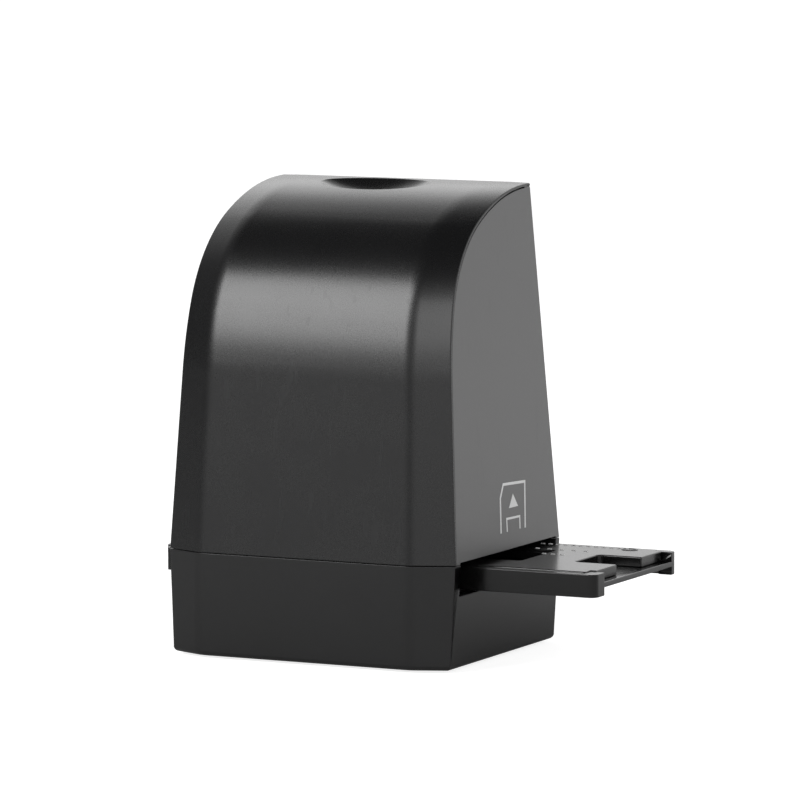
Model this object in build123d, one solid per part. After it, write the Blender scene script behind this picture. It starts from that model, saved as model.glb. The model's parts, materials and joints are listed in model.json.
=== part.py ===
from build123d import *
from functools import lru_cache
from math import cos, radians, sin, tan
import os

# Upright desktop film scanner with a film holder pushed through a slot in its base.
# Millimetres. X runs along the film slot (right is +X), Y to the back, Z up. The origin is on the
# standing surface, under the middle of the housing.

# ---- housing outline -------------------------------------------------------------------------
PAD_STAND = 0.8            # the housing's lower rim above the standing surface
BASE_HEIGHT = 32.0         # lower rim to the parting line
BODY_HEIGHT = 144.0        # lower rim to the end of the arch, where the roof starts
FRONT_Y = -40.5            # front facet at and below the parting line
REAR_Y = 41.2              # rear face at the parting line
HALF_WIDTH = 49.0          # side face at the parting line
TOP_HALF_WIDTH = 43.0      # side face at BODY_HEIGHT
RIM_HALF_WIDTH = 47.5      # side face at the lower rim
REAR_LEAN = 4.96           # degrees that the rear face leans forward above the parting line
REAR_UNDERCUT = 0.9        # the rear face's taper below the parting line
FACET_HALF_WIDTH = 36.0    # edge of the front's middle facet at the parting line
FACET_LEAN = 1.65          # degrees that this edge leans in
BAND_ANGLE = 23.0          # degrees that the side bands turn back from the middle facet
FACET_SOFTNESS = 12.0      # radius between facet and band
FACET_STEPS = 3            # flats that this rounding is made of
FRONT_LEAN = 3.7           # degrees that the front leans back above the parting line
ARCH_START = (96.0, 12.9)  # arch above the straight front: radius and degrees of each arc
ARCH_MIDDLE = (43.0, 45.6)
ARCH_CROWN = (81.0, 25.8)
REAR_EDGE_RADIUS = 1.2     # top rear edge
RIM_RADIUS = 1.5           # lower rim's outer edge

# ---- walls and seams -------------------------------------------------------------------------
WALL = 2.2
LIP = 0.9                  # front cover's thin edge over the side panels and the rear cover
SEAM = 0.4                 # open seam between the cover's lip and a panel
SEAM_DEPTH = 1.0           # down to the rebate that closes it
PANEL_SINK = 0.15          # side panels lie this far inside the cover's edge
PANEL_GAP = 0.25           # rear cover between the side panels
PARTING_GAP = 0.12         # between the base and the upper housing
TONGUE_WALL = 1.2          # rim that stands up inside the upper housing
TONGUE_RISE = 2.0
TONGUE_DEPTH = 3.0
FIT = 0.15                 # clearance between parts of one body

# ---- film holder -----------------------------------------------------------------------------
HOLDER_WIDTH = 62.0
HOLDER_THICKNESS = 7.1
HOLDER_LIFT = 23.5         # its underside above the lower rim
HOLDER_LEAD = 59.0         # leading end, left of the optical axis
HOLDER_TRAIL = 90.5        # trailing end, right of it
HOLDER_RAIL = 3.0          # width of the rails along its long edges
HOLDER_POST = 4.5          # length of the solid corner posts at the trailing end
FRONT_POST_WIDTH = 7.0
REAR_POST_WIDTH = 4.2
HOLDER_CORNER = 2.6        # rounding of those posts
HOLDER_CHAMFER = (3.4, 7.0)  # leading corners
FLOOR_THICKNESS = 1.7      # tray floor that the film lies on
FLOOR_LIFT = 2.5           # floor's underside above the holder's underside
LID_RISE = 0.35            # lid's face above the rails' tops
LID_GAP = 0.35             # lid to rails
LID_END = 87.5             # trailing end of the lid's arms
LID_ROUND = 3.0            # corners of the lid's arms
NOTCH_START = 73.0         # finger notch in the lid
NOTCH_WIDTH = 18.5
NOTCH_BACK = 1.0           # its middle behind the optical axis
NOTCH_ROUND = 2.0
FRAME_LENGTH = 36.0        # picture window
FRAME_WIDTH = 24.0
FRAME_PITCH = 38.0
FRAME_COUNT = 3
FRAME_ROUND = 0.8
FILM_WIDTH = 35.3          # film channel in the tray's floor
FILM_CHANNEL = 0.3
LID_WINDOW_FLARE = 1.2     # lid windows are this much larger all round at the face
LID_WINDOW_STEP = 0.7      # depth of that step
HINGE_PIN_RADIUS = 0.7
HINGE_PIN_LENGTH = 7.0
PIN_FIT = 0.05
DETENT_WIDTH = 3.0         # notches under the front rail, one for each picture
DETENT_DEPTH = 0.8
DETENT_X = -15.0           # detent spring's tip, beside the optical axis
DETENT_REACH = 16.0        # leaf behind the tip
DETENT_STRIP = 1.2         # leaf's width
DETENT_LEAF = 0.3          # leaf's thickness

# ---- film slot and gate ----------------------------------------------------------------------
OPTICAL_Y = 7.0            # film and optical axis
SLOT_DROP = 1.0            # slot below the holder's underside
SLOT_FRONT = 7.0           # slot's free length in front of the holder
SLOT_REAR = 0.4
SLOT_RISE = 0.6            # slot above the parting line, cut from the side panels
STEP_LENGTH = 3.5          # shallower step at the slot's front end
STEP_HEIGHT = 6.0
STEP_DROP = 1.0            # its top below the parting line
SLIDE_FIT = 0.15           # holder to its guides
GUIDE_WIDTH = 2.4
GATE_THICKNESS = 1.6
GATE_HALF_LENGTH = 43.0
GATE_LEDGE = 5.0           # base ledges that carry the gate's ends
APERTURE_MARGIN = 1.0      # light aperture beyond the picture window
TOP_GUIDE = 2.0            # upper guide plate
TOP_GUIDE_HALF_LENGTH = 40.0
TOP_GUIDE_RIB = 2.0
TOP_GUIDE_FRONT = 9.0      # plate's front edge ahead of the holder

# ---- backlight -------------------------------------------------------------------------------
BOTTOM_PLATE = 2.0
BOTTOM_SINK = 0.6          # bottom plate above the lower rim
PAD_LENGTH = 74.0
PAD_WIDTH = 58.0
PAD_ROUND = 8.0
LIGHT_BOX_LENGTH = 52.0
LIGHT_BOX_WIDTH = 38.0
LIGHT_BOX_WALL = 1.4
DIFFUSER = 2.0
BOARD = 1.6                # circuit board thickness
BOARD_STAND = 1.2
LED_SIZE = 2.8
LED_HEIGHT = 1.0
LED_COLUMNS = 4
LED_ROWS = 2
LED_PITCH = 10.0
LAMP_LEAD_X = 18.0         # where the lamps' lead leaves their board
LEAD_RADIUS = 1.1

# ---- camera tower ----------------------------------------------------------------------------
FRAME_WALL = 2.0
FRAME_HALF_WIDTH = 26.0
FRAME_DEPTH = 40.0
SENSOR_SHELF = 100.0       # sensor shelf above the lower rim
TUNNEL_WALL = 1.4
TUNNEL_LIFT = 44.0         # tunnel height
TUNNEL_MOUTH = 20.0
BARREL_RADIUS = 7.0
BARREL_LENGTH = 16.0
BARREL_BORE = 5.0
LENS_THICKNESS = 2.0
MOUNT_SIZE = 22.0
MOUNT_HEIGHT = 10.0
FILTER = 0.6
SENSOR_SIZE = 9.0
SENSOR_THICKNESS = 1.1
SENSOR_BOARD_SIZE = 30.0
SENSOR_BOSS = 2.2          # radius of the small bosses under the boards
RIBBON_WIDTH = 10.0
RIBBON_THICKNESS = 0.3
MAIN_BOARD_X = 32.0
MAIN_BOARD_LENGTH = 48.0
MAIN_BOARD_HEIGHT = 40.0
MAIN_BOARD_LIFT = 42.0     # its lower edge above the lower rim
MAIN_BOARD_REAR = 34.2     # its rear edge
CONNECTOR_DEPTH = 3.0
CONNECTOR_HEIGHT = 4.0
CONNECTOR_WIDTH = 11.0
CONNECTOR_DROP = 6.0       # connectors' tops below the board's upper edge
BUTTON_LEAD_Y = 20.0
LAMP_LEAD_Y = -7.0
USB_WIDTH = 7.7
USB_HEIGHT = 3.9
USB_DEPTH = 9.2
USB_WALL = 0.4
USB_LIFT = 8.0             # socket's middle above the board's lower edge

# ---- scan button -----------------------------------------------------------------------------
DISH_LENGTH = 37.0
DISH_WIDTH = 21.5
DISH_DEPTH = 4.2
DISH_X = -4.0
DISH_Y = 18.0
DISH_TILT = 6.0           # degrees, about the roof's slope there
DISH_WALL = 2.0
BUTTON_RADIUS = 6.2
BUTTON_FIT = 0.25
BUTTON_TRAVEL = 0.6
BUTTON_PROUD = 1.2         # button's crown above the dish's lowest point
BUTTON_CROWN = 0.9
BUTTON_SKIRT = 4.0         # sleeve below the dish's lowest point
CAP_WALL = 1.2
FLANGE = 1.5
SLEEVE_WALL = 1.5
SPRING_WIRE = 0.45
SPRING_TURNS = 5
BUTTON_BOARD_SIZE = 18.0
SWITCH_SIZE = 6.0
SWITCH_HEIGHT = 3.5
PLUNGER_RADIUS = 1.7
PLUNGER_DEPTH = 1.2        # plunger inside the switch

# ---- fasteners -------------------------------------------------------------------------------
SCREW_RADIUS = 1.2
SCREW_HEAD = 2.3
SCREW_HEAD_HEIGHT = 1.4
SCREW_CLEARANCE = 0.3
PILOT_FIT = 0.03
BOSS_RADIUS = 3.2
POST_X = 37.0              # posts in the base's corners
POST_FRONT_Y = -30.3
GATE_SCREW_X = 24.0
COVER_SCREW_X = 30.0       # long screws from the base up into the front cover
COVER_SCREW_Y = -34.4
COVER_SCREW_BITE = 8.0
REAR_SCREW_X = 19.0
REAR_SCREW_LIFTS = (22.0, 76.0)   # rear cover's screws above the parting line
REAR_SCREW_BITE = 5.0
REAR_REACH = 16.0          # bosses that the rear screws bite in


def arch_rise():
    """Height that the arch's arcs gain, each from where the last one ends."""
    lean, rise = FRONT_LEAN, 0.0
    for radius, turn in (ARCH_START, ARCH_MIDDLE, ARCH_CROWN):
        rise += radius * (sin(radians(lean + turn)) - sin(radians(lean)))
        lean += turn
    return rise


# ---- derived places --------------------------------------------------------------------------
FRONT_STRAIGHT = BODY_HEIGHT - BASE_HEIGHT - arch_rise()
RIM_Z = PAD_STAND
PART_Z = RIM_Z + BASE_HEIGHT
TOP_Z = RIM_Z + BODY_HEIGHT
HOLDER_Z = RIM_Z + HOLDER_LIFT
HOLDER_TOP = HOLDER_Z + HOLDER_THICKNESS
FLOOR_Z = HOLDER_Z + FLOOR_LIFT
FILM_Z = FLOOR_Z + FLOOR_THICKNESS
HOLDER_FRONT = OPTICAL_Y - HOLDER_WIDTH / 2
HOLDER_REAR = OPTICAL_Y + HOLDER_WIDTH / 2
SLOT_Z = HOLDER_Z - SLOT_DROP
UPPER_Z = PART_Z + PARTING_GAP / 2
LOWER_Z = PART_Z - PARTING_GAP / 2
TONGUE_TOP = PART_Z + TONGUE_RISE
SHOULDER = WALL + PANEL_SINK
PLATE_Z = RIM_Z + BOTTOM_SINK
PLATE_TOP = PLATE_Z + BOTTOM_PLATE
REAR_POST_Y = REAR_Y - WALL - BOSS_RADIUS
GATE_TOP = HOLDER_Z - SLIDE_FIT
GATE_Z = GATE_TOP - GATE_THICKNESS
GUIDE_FRONT = HOLDER_FRONT - SLIDE_FIT - GUIDE_WIDTH
GUIDE_REAR = HOLDER_REAR + SLIDE_FIT
GATE_SCREW_Y = GUIDE_FRONT - BOSS_RADIUS
COVER_HEAD_Z = PLATE_TOP + 2 * SCREW_HEAD_HEIGHT
TOP_GUIDE_TOP = TONGUE_TOP + TOP_GUIDE
APERTURE_HALF_LENGTH = FRAME_LENGTH / 2 + APERTURE_MARGIN
APERTURE_HALF_WIDTH = FRAME_WIDTH / 2 + APERTURE_MARGIN
LIGHT_BOARD_Z = PLATE_TOP + BOARD_STAND
LED_Z = LIGHT_BOARD_Z + BOARD
DIFFUSER_Z = GATE_Z - DIFFUSER
SHELF_Z = RIM_Z + SENSOR_SHELF
SENSOR_BOARD_Z = SHELF_Z + FRAME_WALL + BOARD_STAND
BARREL_Z = SENSOR_BOARD_Z - MOUNT_HEIGHT - BARREL_LENGTH / 2
FLANGE_TOP = TOP_GUIDE_TOP + FRAME_WALL
FRAME_FRONT = OPTICAL_Y - FRAME_DEPTH / 2
FRAME_REAR = OPTICAL_Y + FRAME_DEPTH / 2
BOARD_Z = RIM_Z + MAIN_BOARD_LIFT
USB_Z = BOARD_Z + USB_LIFT
BOARD_OUT = MAIN_BOARD_X + BOARD
BOARD_TOP = BOARD_Z + MAIN_BOARD_HEIGHT
BOARD_FRONT = MAIN_BOARD_REAR - MAIN_BOARD_LENGTH
CONNECTOR_TOP = BOARD_TOP - CONNECTOR_DROP
CONNECTOR_X = BOARD_OUT + CONNECTOR_DEPTH / 2
USB_X = BOARD_OUT + USB_HEIGHT / 2
DETENT_Y = HOLDER_FRONT + HOLDER_RAIL / 2
LIGHT_X = (-LIGHT_BOX_LENGTH / 2, LIGHT_BOX_LENGTH / 2)
LIGHT_Y = (OPTICAL_Y - LIGHT_BOX_WIDTH / 2, OPTICAL_Y + LIGHT_BOX_WIDTH / 2)
FAR = 400.0                # longer than anything that is trimmed with it
WIDE = -3.0                # an inset that reaches past the outline


def box(x_span, y_span, z_span):
    """Box between two values on each axis."""
    spans = (x_span, y_span, z_span)
    return Pos(*[(a + b) / 2 for a, b in spans]) * Box(*[b - a for a, b in spans])


def rod(x, y, z_low, z_high, radius):
    """Upright cylinder."""
    return Pos(x, y, (z_low + z_high) / 2) * Cylinder(radius, z_high - z_low)


def slab(z_low, z_high):
    """Everything between two heights."""
    return box((-FAR, FAR), (-FAR, FAR), (z_low, z_high))


def rounded_plate(x_span, y_span, z_span, radius):
    """Box with its upright edges rounded."""
    plate = box(x_span, y_span, z_span)
    return fillet(plate.edges().filter_by(Axis.Z), radius)


# ---- housing envelope ------------------------------------------------------------------------
def arch_chain():
    """Lines and arcs of the middle facet from far below the rim, over the arch, far past the rear."""
    foot = Line((FRONT_Y, RIM_Z - FAR / 2), (FRONT_Y, PART_Z))
    lean = FRONT_STRAIGHT * tan(radians(FRONT_LEAN))
    end = Line((FRONT_Y, PART_Z), (FRONT_Y + lean, PART_Z + FRONT_STRAIGHT))
    chain = [foot, end]
    for radius, turn in (ARCH_START, ARCH_MIDDLE, ARCH_CROWN):
        end = JernArc(end @ 1, end % 1, radius, -turn)
        chain.append(end)
    return [*chain, Line(end @ 1, (end @ 1) + (end % 1) * FAR / 2)]


def roof_height(y):
    """Height of the middle facet's surface over a point on the arch or the roof."""
    chain = [edge.position_at(t / 200) for edge in arch_chain()[2:] for t in range(201)]
    return min(chain, key=lambda point: abs(point.X - y)).Y


def arch_profile():
    """Closed outline of the front, arch and roof in the YZ plane, open behind."""
    chain = arch_chain()
    start, end = chain[0] @ 0, chain[-1] @ 1
    back = Line(end, (end.X, start.Y))
    return make_face([*chain, back, Line(back @ 1, start)])


def side_wedge(at_rim, at_part, at_top):
    """Solid between two side faces, given by their half widths, leaning in from the parting line."""
    rise = FAR / 2
    top = at_part + (at_top - at_part) * rise / (BODY_HEIGHT - BASE_HEIGHT)
    low = at_part + (at_rim - at_part) * rise / BASE_HEIGHT
    right = [(low, PART_Z - rise), (at_part, PART_Z), (top, PART_Z + rise)]
    left = [(-x, z) for x, z in reversed(right)]
    outline = make_face(Polyline(*right, *left, close=True))
    return extrude(Plane.XZ.offset(-FAR / 2) * outline, FAR)


def rear_wedge(front_inset, rear_inset):
    """Solid in front of the rear face and under the roof, with the edge between them rounded."""
    rise = FAR / 2
    rear = REAR_Y - rear_inset
    low = rear - REAR_UNDERCUT * rise / BASE_HEIGHT
    high = rear - rise * tan(radians(REAR_LEAN))
    behind = make_face(Polyline((-FAR, PART_Z - rise), (low, PART_Z - rise), (rear, PART_Z),
                                (high, PART_Z + rise), (-FAR, PART_Z + rise), close=True))
    roof = arch_chain()[-1]
    run = roof % 0
    start = (roof @ 0) + Vector(run.Y, -run.X) * front_inset
    near, far = start - run * FAR, start + run * FAR
    under = make_face(Polyline((near.X, near.Y), (far.X, far.Y), (far.X, -FAR), (near.X, -FAR),
                               close=True))
    outline = behind & under
    radius = REAR_EDGE_RADIUS - max(front_inset, 0)
    if radius > 0:
        outline = fillet(outline.vertices().sort_by(Axis.Y)[-1], radius)
    return extrude(Plane.YZ.offset(-FAR / 2) * outline, FAR)


@lru_cache(None)
def faceted_front(inset):
    """Middle facet and arch with the side bands turned back, wider than the housing."""
    turn = BAND_ANGLE / FACET_STEPS
    edge = FACET_HALF_WIDTH - FACET_SOFTNESS * tan(radians(BAND_ANGLE / 2))
    edge_top = edge - tan(radians(FACET_LEAN)) * (BODY_HEIGHT - BASE_HEIGHT)
    profile = arch_profile()
    if inset:
        profile = offset(profile, -inset, kind=Kind.INTERSECTION)
    prism = extrude(Plane.YZ.offset(-FAR / 2) * profile, FAR)
    solid = prism & side_wedge(edge, edge, edge_top)
    chord = 2 * (FACET_SOFTNESS - inset) * sin(radians(turn / 2))
    runs = [(turn * (step + 0.5), chord) for step in range(FACET_STEPS)]
    for face in solid.faces().filter_by(lambda f: f.center().X > edge / 2):
        start = Vector(0, 0, 0)
        for angle, length in [*runs, (BAND_ANGLE, FAR / 8)]:
            run = Vector(cos(radians(angle)), sin(radians(angle)), 0)
            band = extrude(Pos(start) * face, length, dir=run)
            solid = solid + band + mirror(band, Plane.YZ)
            start += run * length
    return solid


@lru_cache(None)
def form(front_inset, side_inset, rear_inset):
    """Housing envelope with its front and roof, its sides and its rear each set in."""
    widths = [w - side_inset for w in (RIM_HALF_WIDTH, HALF_WIDTH, TOP_HALF_WIDTH)]
    return faceted_front(front_inset) & side_wedge(*widths) & rear_wedge(front_inset, rear_inset)


def shell(inset, wall):
    """Ring of the envelope between two depths, open above and below."""
    deep = inset + wall
    return form(inset, inset, inset) - form(deep, deep, deep)


# ---- places that follow from the roof --------------------------------------------------------
DISH_LOW = roof_height(DISH_Y) - DISH_DEPTH
SLEEVE_Z = DISH_LOW - BUTTON_SKIRT
FLANGE_Z = SLEEVE_Z - FIT - FLANGE
SWITCH_Z = FLANGE_Z - SWITCH_HEIGHT - 2 * BUTTON_TRAVEL
SWITCH_TOP = SWITCH_Z + SWITCH_HEIGHT
PLUNGER_TOP = DISH_LOW + BUTTON_PROUD - 2 * CAP_WALL - WALL
BUTTON_BOARD_Z = SWITCH_Z - BOARD
SPRING_SEAT = BUTTON_RADIUS - CAP_WALL / 2


# ---- fasteners -------------------------------------------------------------------------------
def screw(length):
    """Pan-head screw along -Z with its head's underside at the origin and a cross recess."""
    head = Pos(0, 0, SCREW_HEAD_HEIGHT / 2) * Cylinder(SCREW_HEAD, SCREW_HEAD_HEIGHT)
    head = fillet(head.edges().sort_by(Axis.Z)[-1], SCREW_HEAD_HEIGHT / 2)
    slot = Box(SCREW_HEAD * 1.3, SCREW_RADIUS / 2, SCREW_HEAD_HEIGHT)
    recess = Pos(0, 0, SCREW_HEAD_HEIGHT) * (slot + Rot(0, 0, 90) * slot)
    return head + Pos(0, 0, -length / 2) * Cylinder(SCREW_RADIUS, length) - recess


def pilot(x, y, z_low, z_high):
    """Upright hole that a screw bites in."""
    return rod(x, y, z_low, z_high, SCREW_RADIUS + PILOT_FIT)


def clearance_hole(x, y, z_low, z_high):
    """Upright hole that a screw passes through."""
    return rod(x, y, z_low, z_high, SCREW_RADIUS + SCREW_CLEARANCE)


# ---- housing ---------------------------------------------------------------------------------
def slot_cut():
    """Film slot through both sides, with its shallower step in the outer wall only."""
    slot = box((-FAR, FAR), (HOLDER_FRONT - SLOT_FRONT, HOLDER_REAR + SLOT_REAR),
               (SLOT_Z, PART_Z + SLOT_RISE))
    front = HOLDER_FRONT - SLOT_FRONT
    top = PART_Z - STEP_DROP
    step = box((HALF_WIDTH - WALL, FAR), (front - STEP_LENGTH, front), (top - STEP_HEIGHT, top))
    return slot + step + mirror(step, Plane.YZ)


def post_rib(x, y):
    """Rib that ties a post to the front wall."""
    half = TONGUE_WALL / 2
    return box((x - half, x + half), (-FAR, y), (PLATE_TOP, GATE_Z))


def base_housing():
    tub = shell(0, WALL) & slab(RIM_Z, LOWER_Z)
    rim = tub.faces().filter_by(lambda f: abs(f.center().Z - RIM_Z) < SEAM)
    tub = fillet(rim.sort_by(SortBy.AREA)[-1].outer_wire().edges(), RIM_RADIUS)
    deep = WALL + FIT
    root = form(WALL, WALL, WALL) - form(deep + TONGUE_WALL, deep + TONGUE_WALL, deep + TONGUE_WALL)
    tub += root & slab(PART_Z - TONGUE_DEPTH, LOWER_Z)
    tub += shell(deep, TONGUE_WALL) & slab(LOWER_Z, TONGUE_TOP)
    tub -= slot_cut()
    inside = form(WALL, WALL, WALL)
    ledge = box((GATE_HALF_LENGTH - GATE_LEDGE, FAR), (OPTICAL_Y - GATE_LEDGE, OPTICAL_Y + GATE_LEDGE),
                (PLATE_TOP, GATE_Z)) & inside
    tub += ledge + mirror(ledge, Plane.YZ)
    for side in (-1, 1):
        for x, y in ((side * POST_X, POST_FRONT_Y), (side * GATE_SCREW_X, GATE_SCREW_Y)):
            tub += post_rib(x, y) & inside
        tub += rod(side * POST_X, POST_FRONT_Y, PLATE_TOP, TONGUE_TOP, BOSS_RADIUS)
        tub += rod(side * POST_X, REAR_POST_Y, PLATE_TOP, GATE_Z - FIT, BOSS_RADIUS)
        tub += rod(side * GATE_SCREW_X, GATE_SCREW_Y, PLATE_TOP, GATE_Z, BOSS_RADIUS)
        tub += rod(side * COVER_SCREW_X, COVER_SCREW_Y, PLATE_TOP, LOWER_Z, BOSS_RADIUS)
        tub -= pilot(side * POST_X, POST_FRONT_Y, PLATE_TOP, TONGUE_TOP)
        tub -= pilot(side * POST_X, REAR_POST_Y, PLATE_TOP, GATE_Z - WALL)
        tub -= pilot(side * GATE_SCREW_X, GATE_SCREW_Y, PLATE_TOP + WALL, GATE_Z)
        tub -= clearance_hole(side * COVER_SCREW_X, COVER_SCREW_Y, PLATE_TOP, LOWER_Z)
        tub -= rod(side * COVER_SCREW_X, COVER_SCREW_Y, PLATE_TOP, COVER_HEAD_Z, SCREW_HEAD + FIT)
    return tub & form(0, 0, 0)


def bottom_plate():
    plate = form(WALL + FIT, WALL + FIT, WALL + FIT) & slab(PLATE_Z, PLATE_TOP)
    for x in (-POST_X, POST_X):
        for y in (POST_FRONT_Y, REAR_POST_Y):
            plate -= clearance_hole(x, y, PLATE_Z, PLATE_TOP)
            plate -= rod(x, y, PLATE_Z, PLATE_Z + SCREW_HEAD_HEIGHT / 2, SCREW_HEAD + SCREW_CLEARANCE)
    return plate - anti_slip_pad()


def bottom_screws():
    fixed = Pos(0, 0, PLATE_Z + SCREW_HEAD_HEIGHT / 2) * Rot(180, 0, 0) * screw(BOSS_RADIUS * 2)
    return [Pos(x, y, 0) * fixed for x in (-POST_X, POST_X) for y in (POST_FRONT_Y, REAR_POST_Y)]


def anti_slip_pad():
    return rounded_plate((-PAD_LENGTH / 2, PAD_LENGTH / 2), (-PAD_WIDTH / 2, PAD_WIDTH / 2),
                         (0, PLATE_Z + BOTTOM_SINK / 2), PAD_ROUND)


def dish(wall):
    """Finger dish's torus: its outer surface is the dish, a wall thickness further for its back."""
    across = ((DISH_LENGTH / 2) ** 2 + DISH_DEPTH ** 2) / (2 * DISH_DEPTH)
    along = ((DISH_WIDTH / 2) ** 2 + DISH_DEPTH ** 2) / (2 * DISH_DEPTH)
    ring = Torus(across - along, along + wall)
    tilted = Pos(DISH_X, DISH_Y, roof_height(DISH_Y)) * Rot(DISH_TILT, 0, 0)
    return tilted * Pos(0, 0, across - DISH_DEPTH) * Rot(90, 0, 0) * ring


def front_cover():
    skin = form(0, 0, 0) - form(LIP, WIDE, WIDE)
    wall = form(0, SHOULDER, WALL) - form(WALL, WIDE, WIDE)
    cover = (skin + wall) & slab(UPPER_Z, FAR)
    cover += (dish(DISH_WALL) & form(LIP, SHOULDER + FIT, WALL + FIT)) & slab(TOP_Z / 2, FAR)
    sleeve_top = DISH_LOW + DISH_WALL / 2
    cover += rod(DISH_X, DISH_Y, SLEEVE_Z, sleeve_top, BUTTON_RADIUS + BUTTON_FIT + SLEEVE_WALL)
    cover -= dish(0)
    cover -= rod(DISH_X, DISH_Y, SLEEVE_Z, TOP_Z + DISH_DEPTH, BUTTON_RADIUS + BUTTON_FIT)
    boss_top = TONGUE_TOP + COVER_SCREW_BITE + BOSS_RADIUS
    for x in (-COVER_SCREW_X, COVER_SCREW_X):
        boss = rod(x, COVER_SCREW_Y, TONGUE_TOP + FIT, boss_top, BOSS_RADIUS)
        cover += boss & form(LIP, SHOULDER, WALL)
        cover -= pilot(x, COVER_SCREW_Y, TONGUE_TOP, TONGUE_TOP + COVER_SCREW_BITE + WALL)
    return cover


def cover_screws():
    fixed = Pos(0, COVER_SCREW_Y, COVER_HEAD_Z) * Rot(180, 0, 0)
    fixed = fixed * screw(TONGUE_TOP + COVER_SCREW_BITE - COVER_HEAD_Z)
    return [Pos(x, 0, 0) * fixed for x in (-COVER_SCREW_X, COVER_SCREW_X)]


def rear_screw_places():
    """Places on the rear cover's face, each with its Z axis along the face's normal."""
    turn = Rot(REAR_LEAN - 90, 0, 0)
    return [Pos(x, REAR_Y - lift * tan(radians(REAR_LEAN)), PART_Z + lift) * turn
            for x in (-REAR_SCREW_X, REAR_SCREW_X) for lift in REAR_SCREW_LIFTS]


def rear_screws():
    return [place * screw(WALL + REAR_SCREW_BITE) for place in rear_screw_places()]


def side_panels():
    """Both side panels, left one first."""
    sunk = PANEL_SINK + SEAM_DEPTH
    panels = form(LIP + SEAM, PANEL_SINK, 0) + form(LIP + FIT, sunk, SEAM_DEPTH)
    panels = (panels - form(WIDE, SHOULDER, WIDE)) & slab(UPPER_Z, FAR)
    return (panels - slot_cut()).solids().sort_by(Axis.X)


def rear_cover():
    side = SHOULDER + PANEL_GAP
    cover = form(LIP + SEAM, side, 0) + form(LIP + FIT, side, SEAM_DEPTH)
    cover = (cover - form(WIDE, WIDE, WALL)) & slab(UPPER_Z, FAR)
    cover -= box((USB_X - USB_HEIGHT / 2 - FIT, USB_X + USB_HEIGHT / 2 + FIT), (0, FAR),
                 (USB_Z - USB_WIDTH / 2 - FIT, USB_Z + USB_WIDTH / 2 + FIT))
    for place in rear_screw_places():
        cover -= place * Cylinder(SCREW_RADIUS + SCREW_CLEARANCE, WALL * 4)
    return cover


# ---- scan button -----------------------------------------------------------------------------
def button_cap():
    """Round cap with a crowned face, held in its sleeve by a flange."""
    radius = BUTTON_RADIUS
    top = DISH_LOW + BUTTON_PROUD
    body = rod(DISH_X, DISH_Y, FLANGE_Z, top, radius)
    body += rod(DISH_X, DISH_Y, FLANGE_Z, FLANGE_Z + FLANGE, radius + SLEEVE_WALL)
    body -= rod(DISH_X, DISH_Y, FLANGE_Z, top - 2 * CAP_WALL, radius - CAP_WALL)
    body += rod(DISH_X, DISH_Y, PLUNGER_TOP, top - 2 * CAP_WALL, PLUNGER_RADIUS)
    ball = (radius ** 2 + BUTTON_CROWN ** 2) / (2 * BUTTON_CROWN)
    return body & (Pos(DISH_X, DISH_Y, top - ball) * Sphere(ball))


def tact_switch():
    half = SWITCH_SIZE / 2
    body = box((DISH_X - half, DISH_X + half), (DISH_Y - half, DISH_Y + half), (SWITCH_Z, SWITCH_TOP))
    low = SWITCH_TOP - PLUNGER_DEPTH - BUTTON_TRAVEL - FIT
    return body - rod(DISH_X, DISH_Y, low, SWITCH_TOP, PLUNGER_RADIUS + PIN_FIT)


def switch_plunger():
    return rod(DISH_X, DISH_Y, SWITCH_TOP - PLUNGER_DEPTH, PLUNGER_TOP, PLUNGER_RADIUS)


def button_board():
    half = BUTTON_BOARD_SIZE / 2
    return rounded_plate((DISH_X - half, DISH_X + half), (DISH_Y - half, DISH_Y + half),
                         (BUTTON_BOARD_Z, SWITCH_Z), SCREW_RADIUS)


def button_spring():
    """Coil between the shelf's board and the underside of the cap's flange."""
    top = FLANGE_Z - SPRING_WIRE
    foot = SWITCH_Z + SPRING_WIRE
    pitch = (top - foot) / SPRING_TURNS
    path = Helix(pitch, top - foot, SPRING_SEAT)
    start = path @ 0
    wire = sweep(Plane(start, z_dir=path % 0) * Circle(SPRING_WIRE), path=path, is_frenet=True)
    return Pos(DISH_X, DISH_Y, foot) * wire


# ---- film holder -----------------------------------------------------------------------------
def frame_middles():
    first = -FRAME_PITCH * (FRAME_COUNT - 1) / 2
    return [first + FRAME_PITCH * number for number in range(FRAME_COUNT)]


def picture_windows(z_low, z_high, margin=0.0):
    """Window cuts through the holder, one for each picture."""
    half_length, half_width = FRAME_LENGTH / 2 + margin, FRAME_WIDTH / 2 + margin
    y_span = (OPTICAL_Y - half_width, OPTICAL_Y + half_width)
    cuts = [rounded_plate((x - half_length, x + half_length), y_span, (z_low, z_high), FRAME_ROUND)
            for x in frame_middles()]
    return cuts[0] + cuts[1:]


def holder_outline():
    """Holder's plan with chamfered leading corners and rounded trailing ones."""
    along, across = HOLDER_CHAMFER
    lead, trail = -HOLDER_LEAD, HOLDER_TRAIL
    plan = make_face(Polyline(
        (lead, HOLDER_FRONT + across), (lead + along, HOLDER_FRONT), (trail, HOLDER_FRONT),
        (trail, HOLDER_REAR), (lead + along, HOLDER_REAR), (lead, HOLDER_REAR - across), close=True))
    return fillet(plan.vertices().filter_by(lambda v: v.X > trail - SEAM), HOLDER_CORNER)


def post_spans(gap):
    """Y spans of the trailing posts, each wider inwards by a gap."""
    front = (HOLDER_FRONT, HOLDER_FRONT + FRONT_POST_WIDTH + gap)
    rear = (HOLDER_REAR - REAR_POST_WIDTH - gap, HOLDER_REAR)
    return (front, rear)


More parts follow.
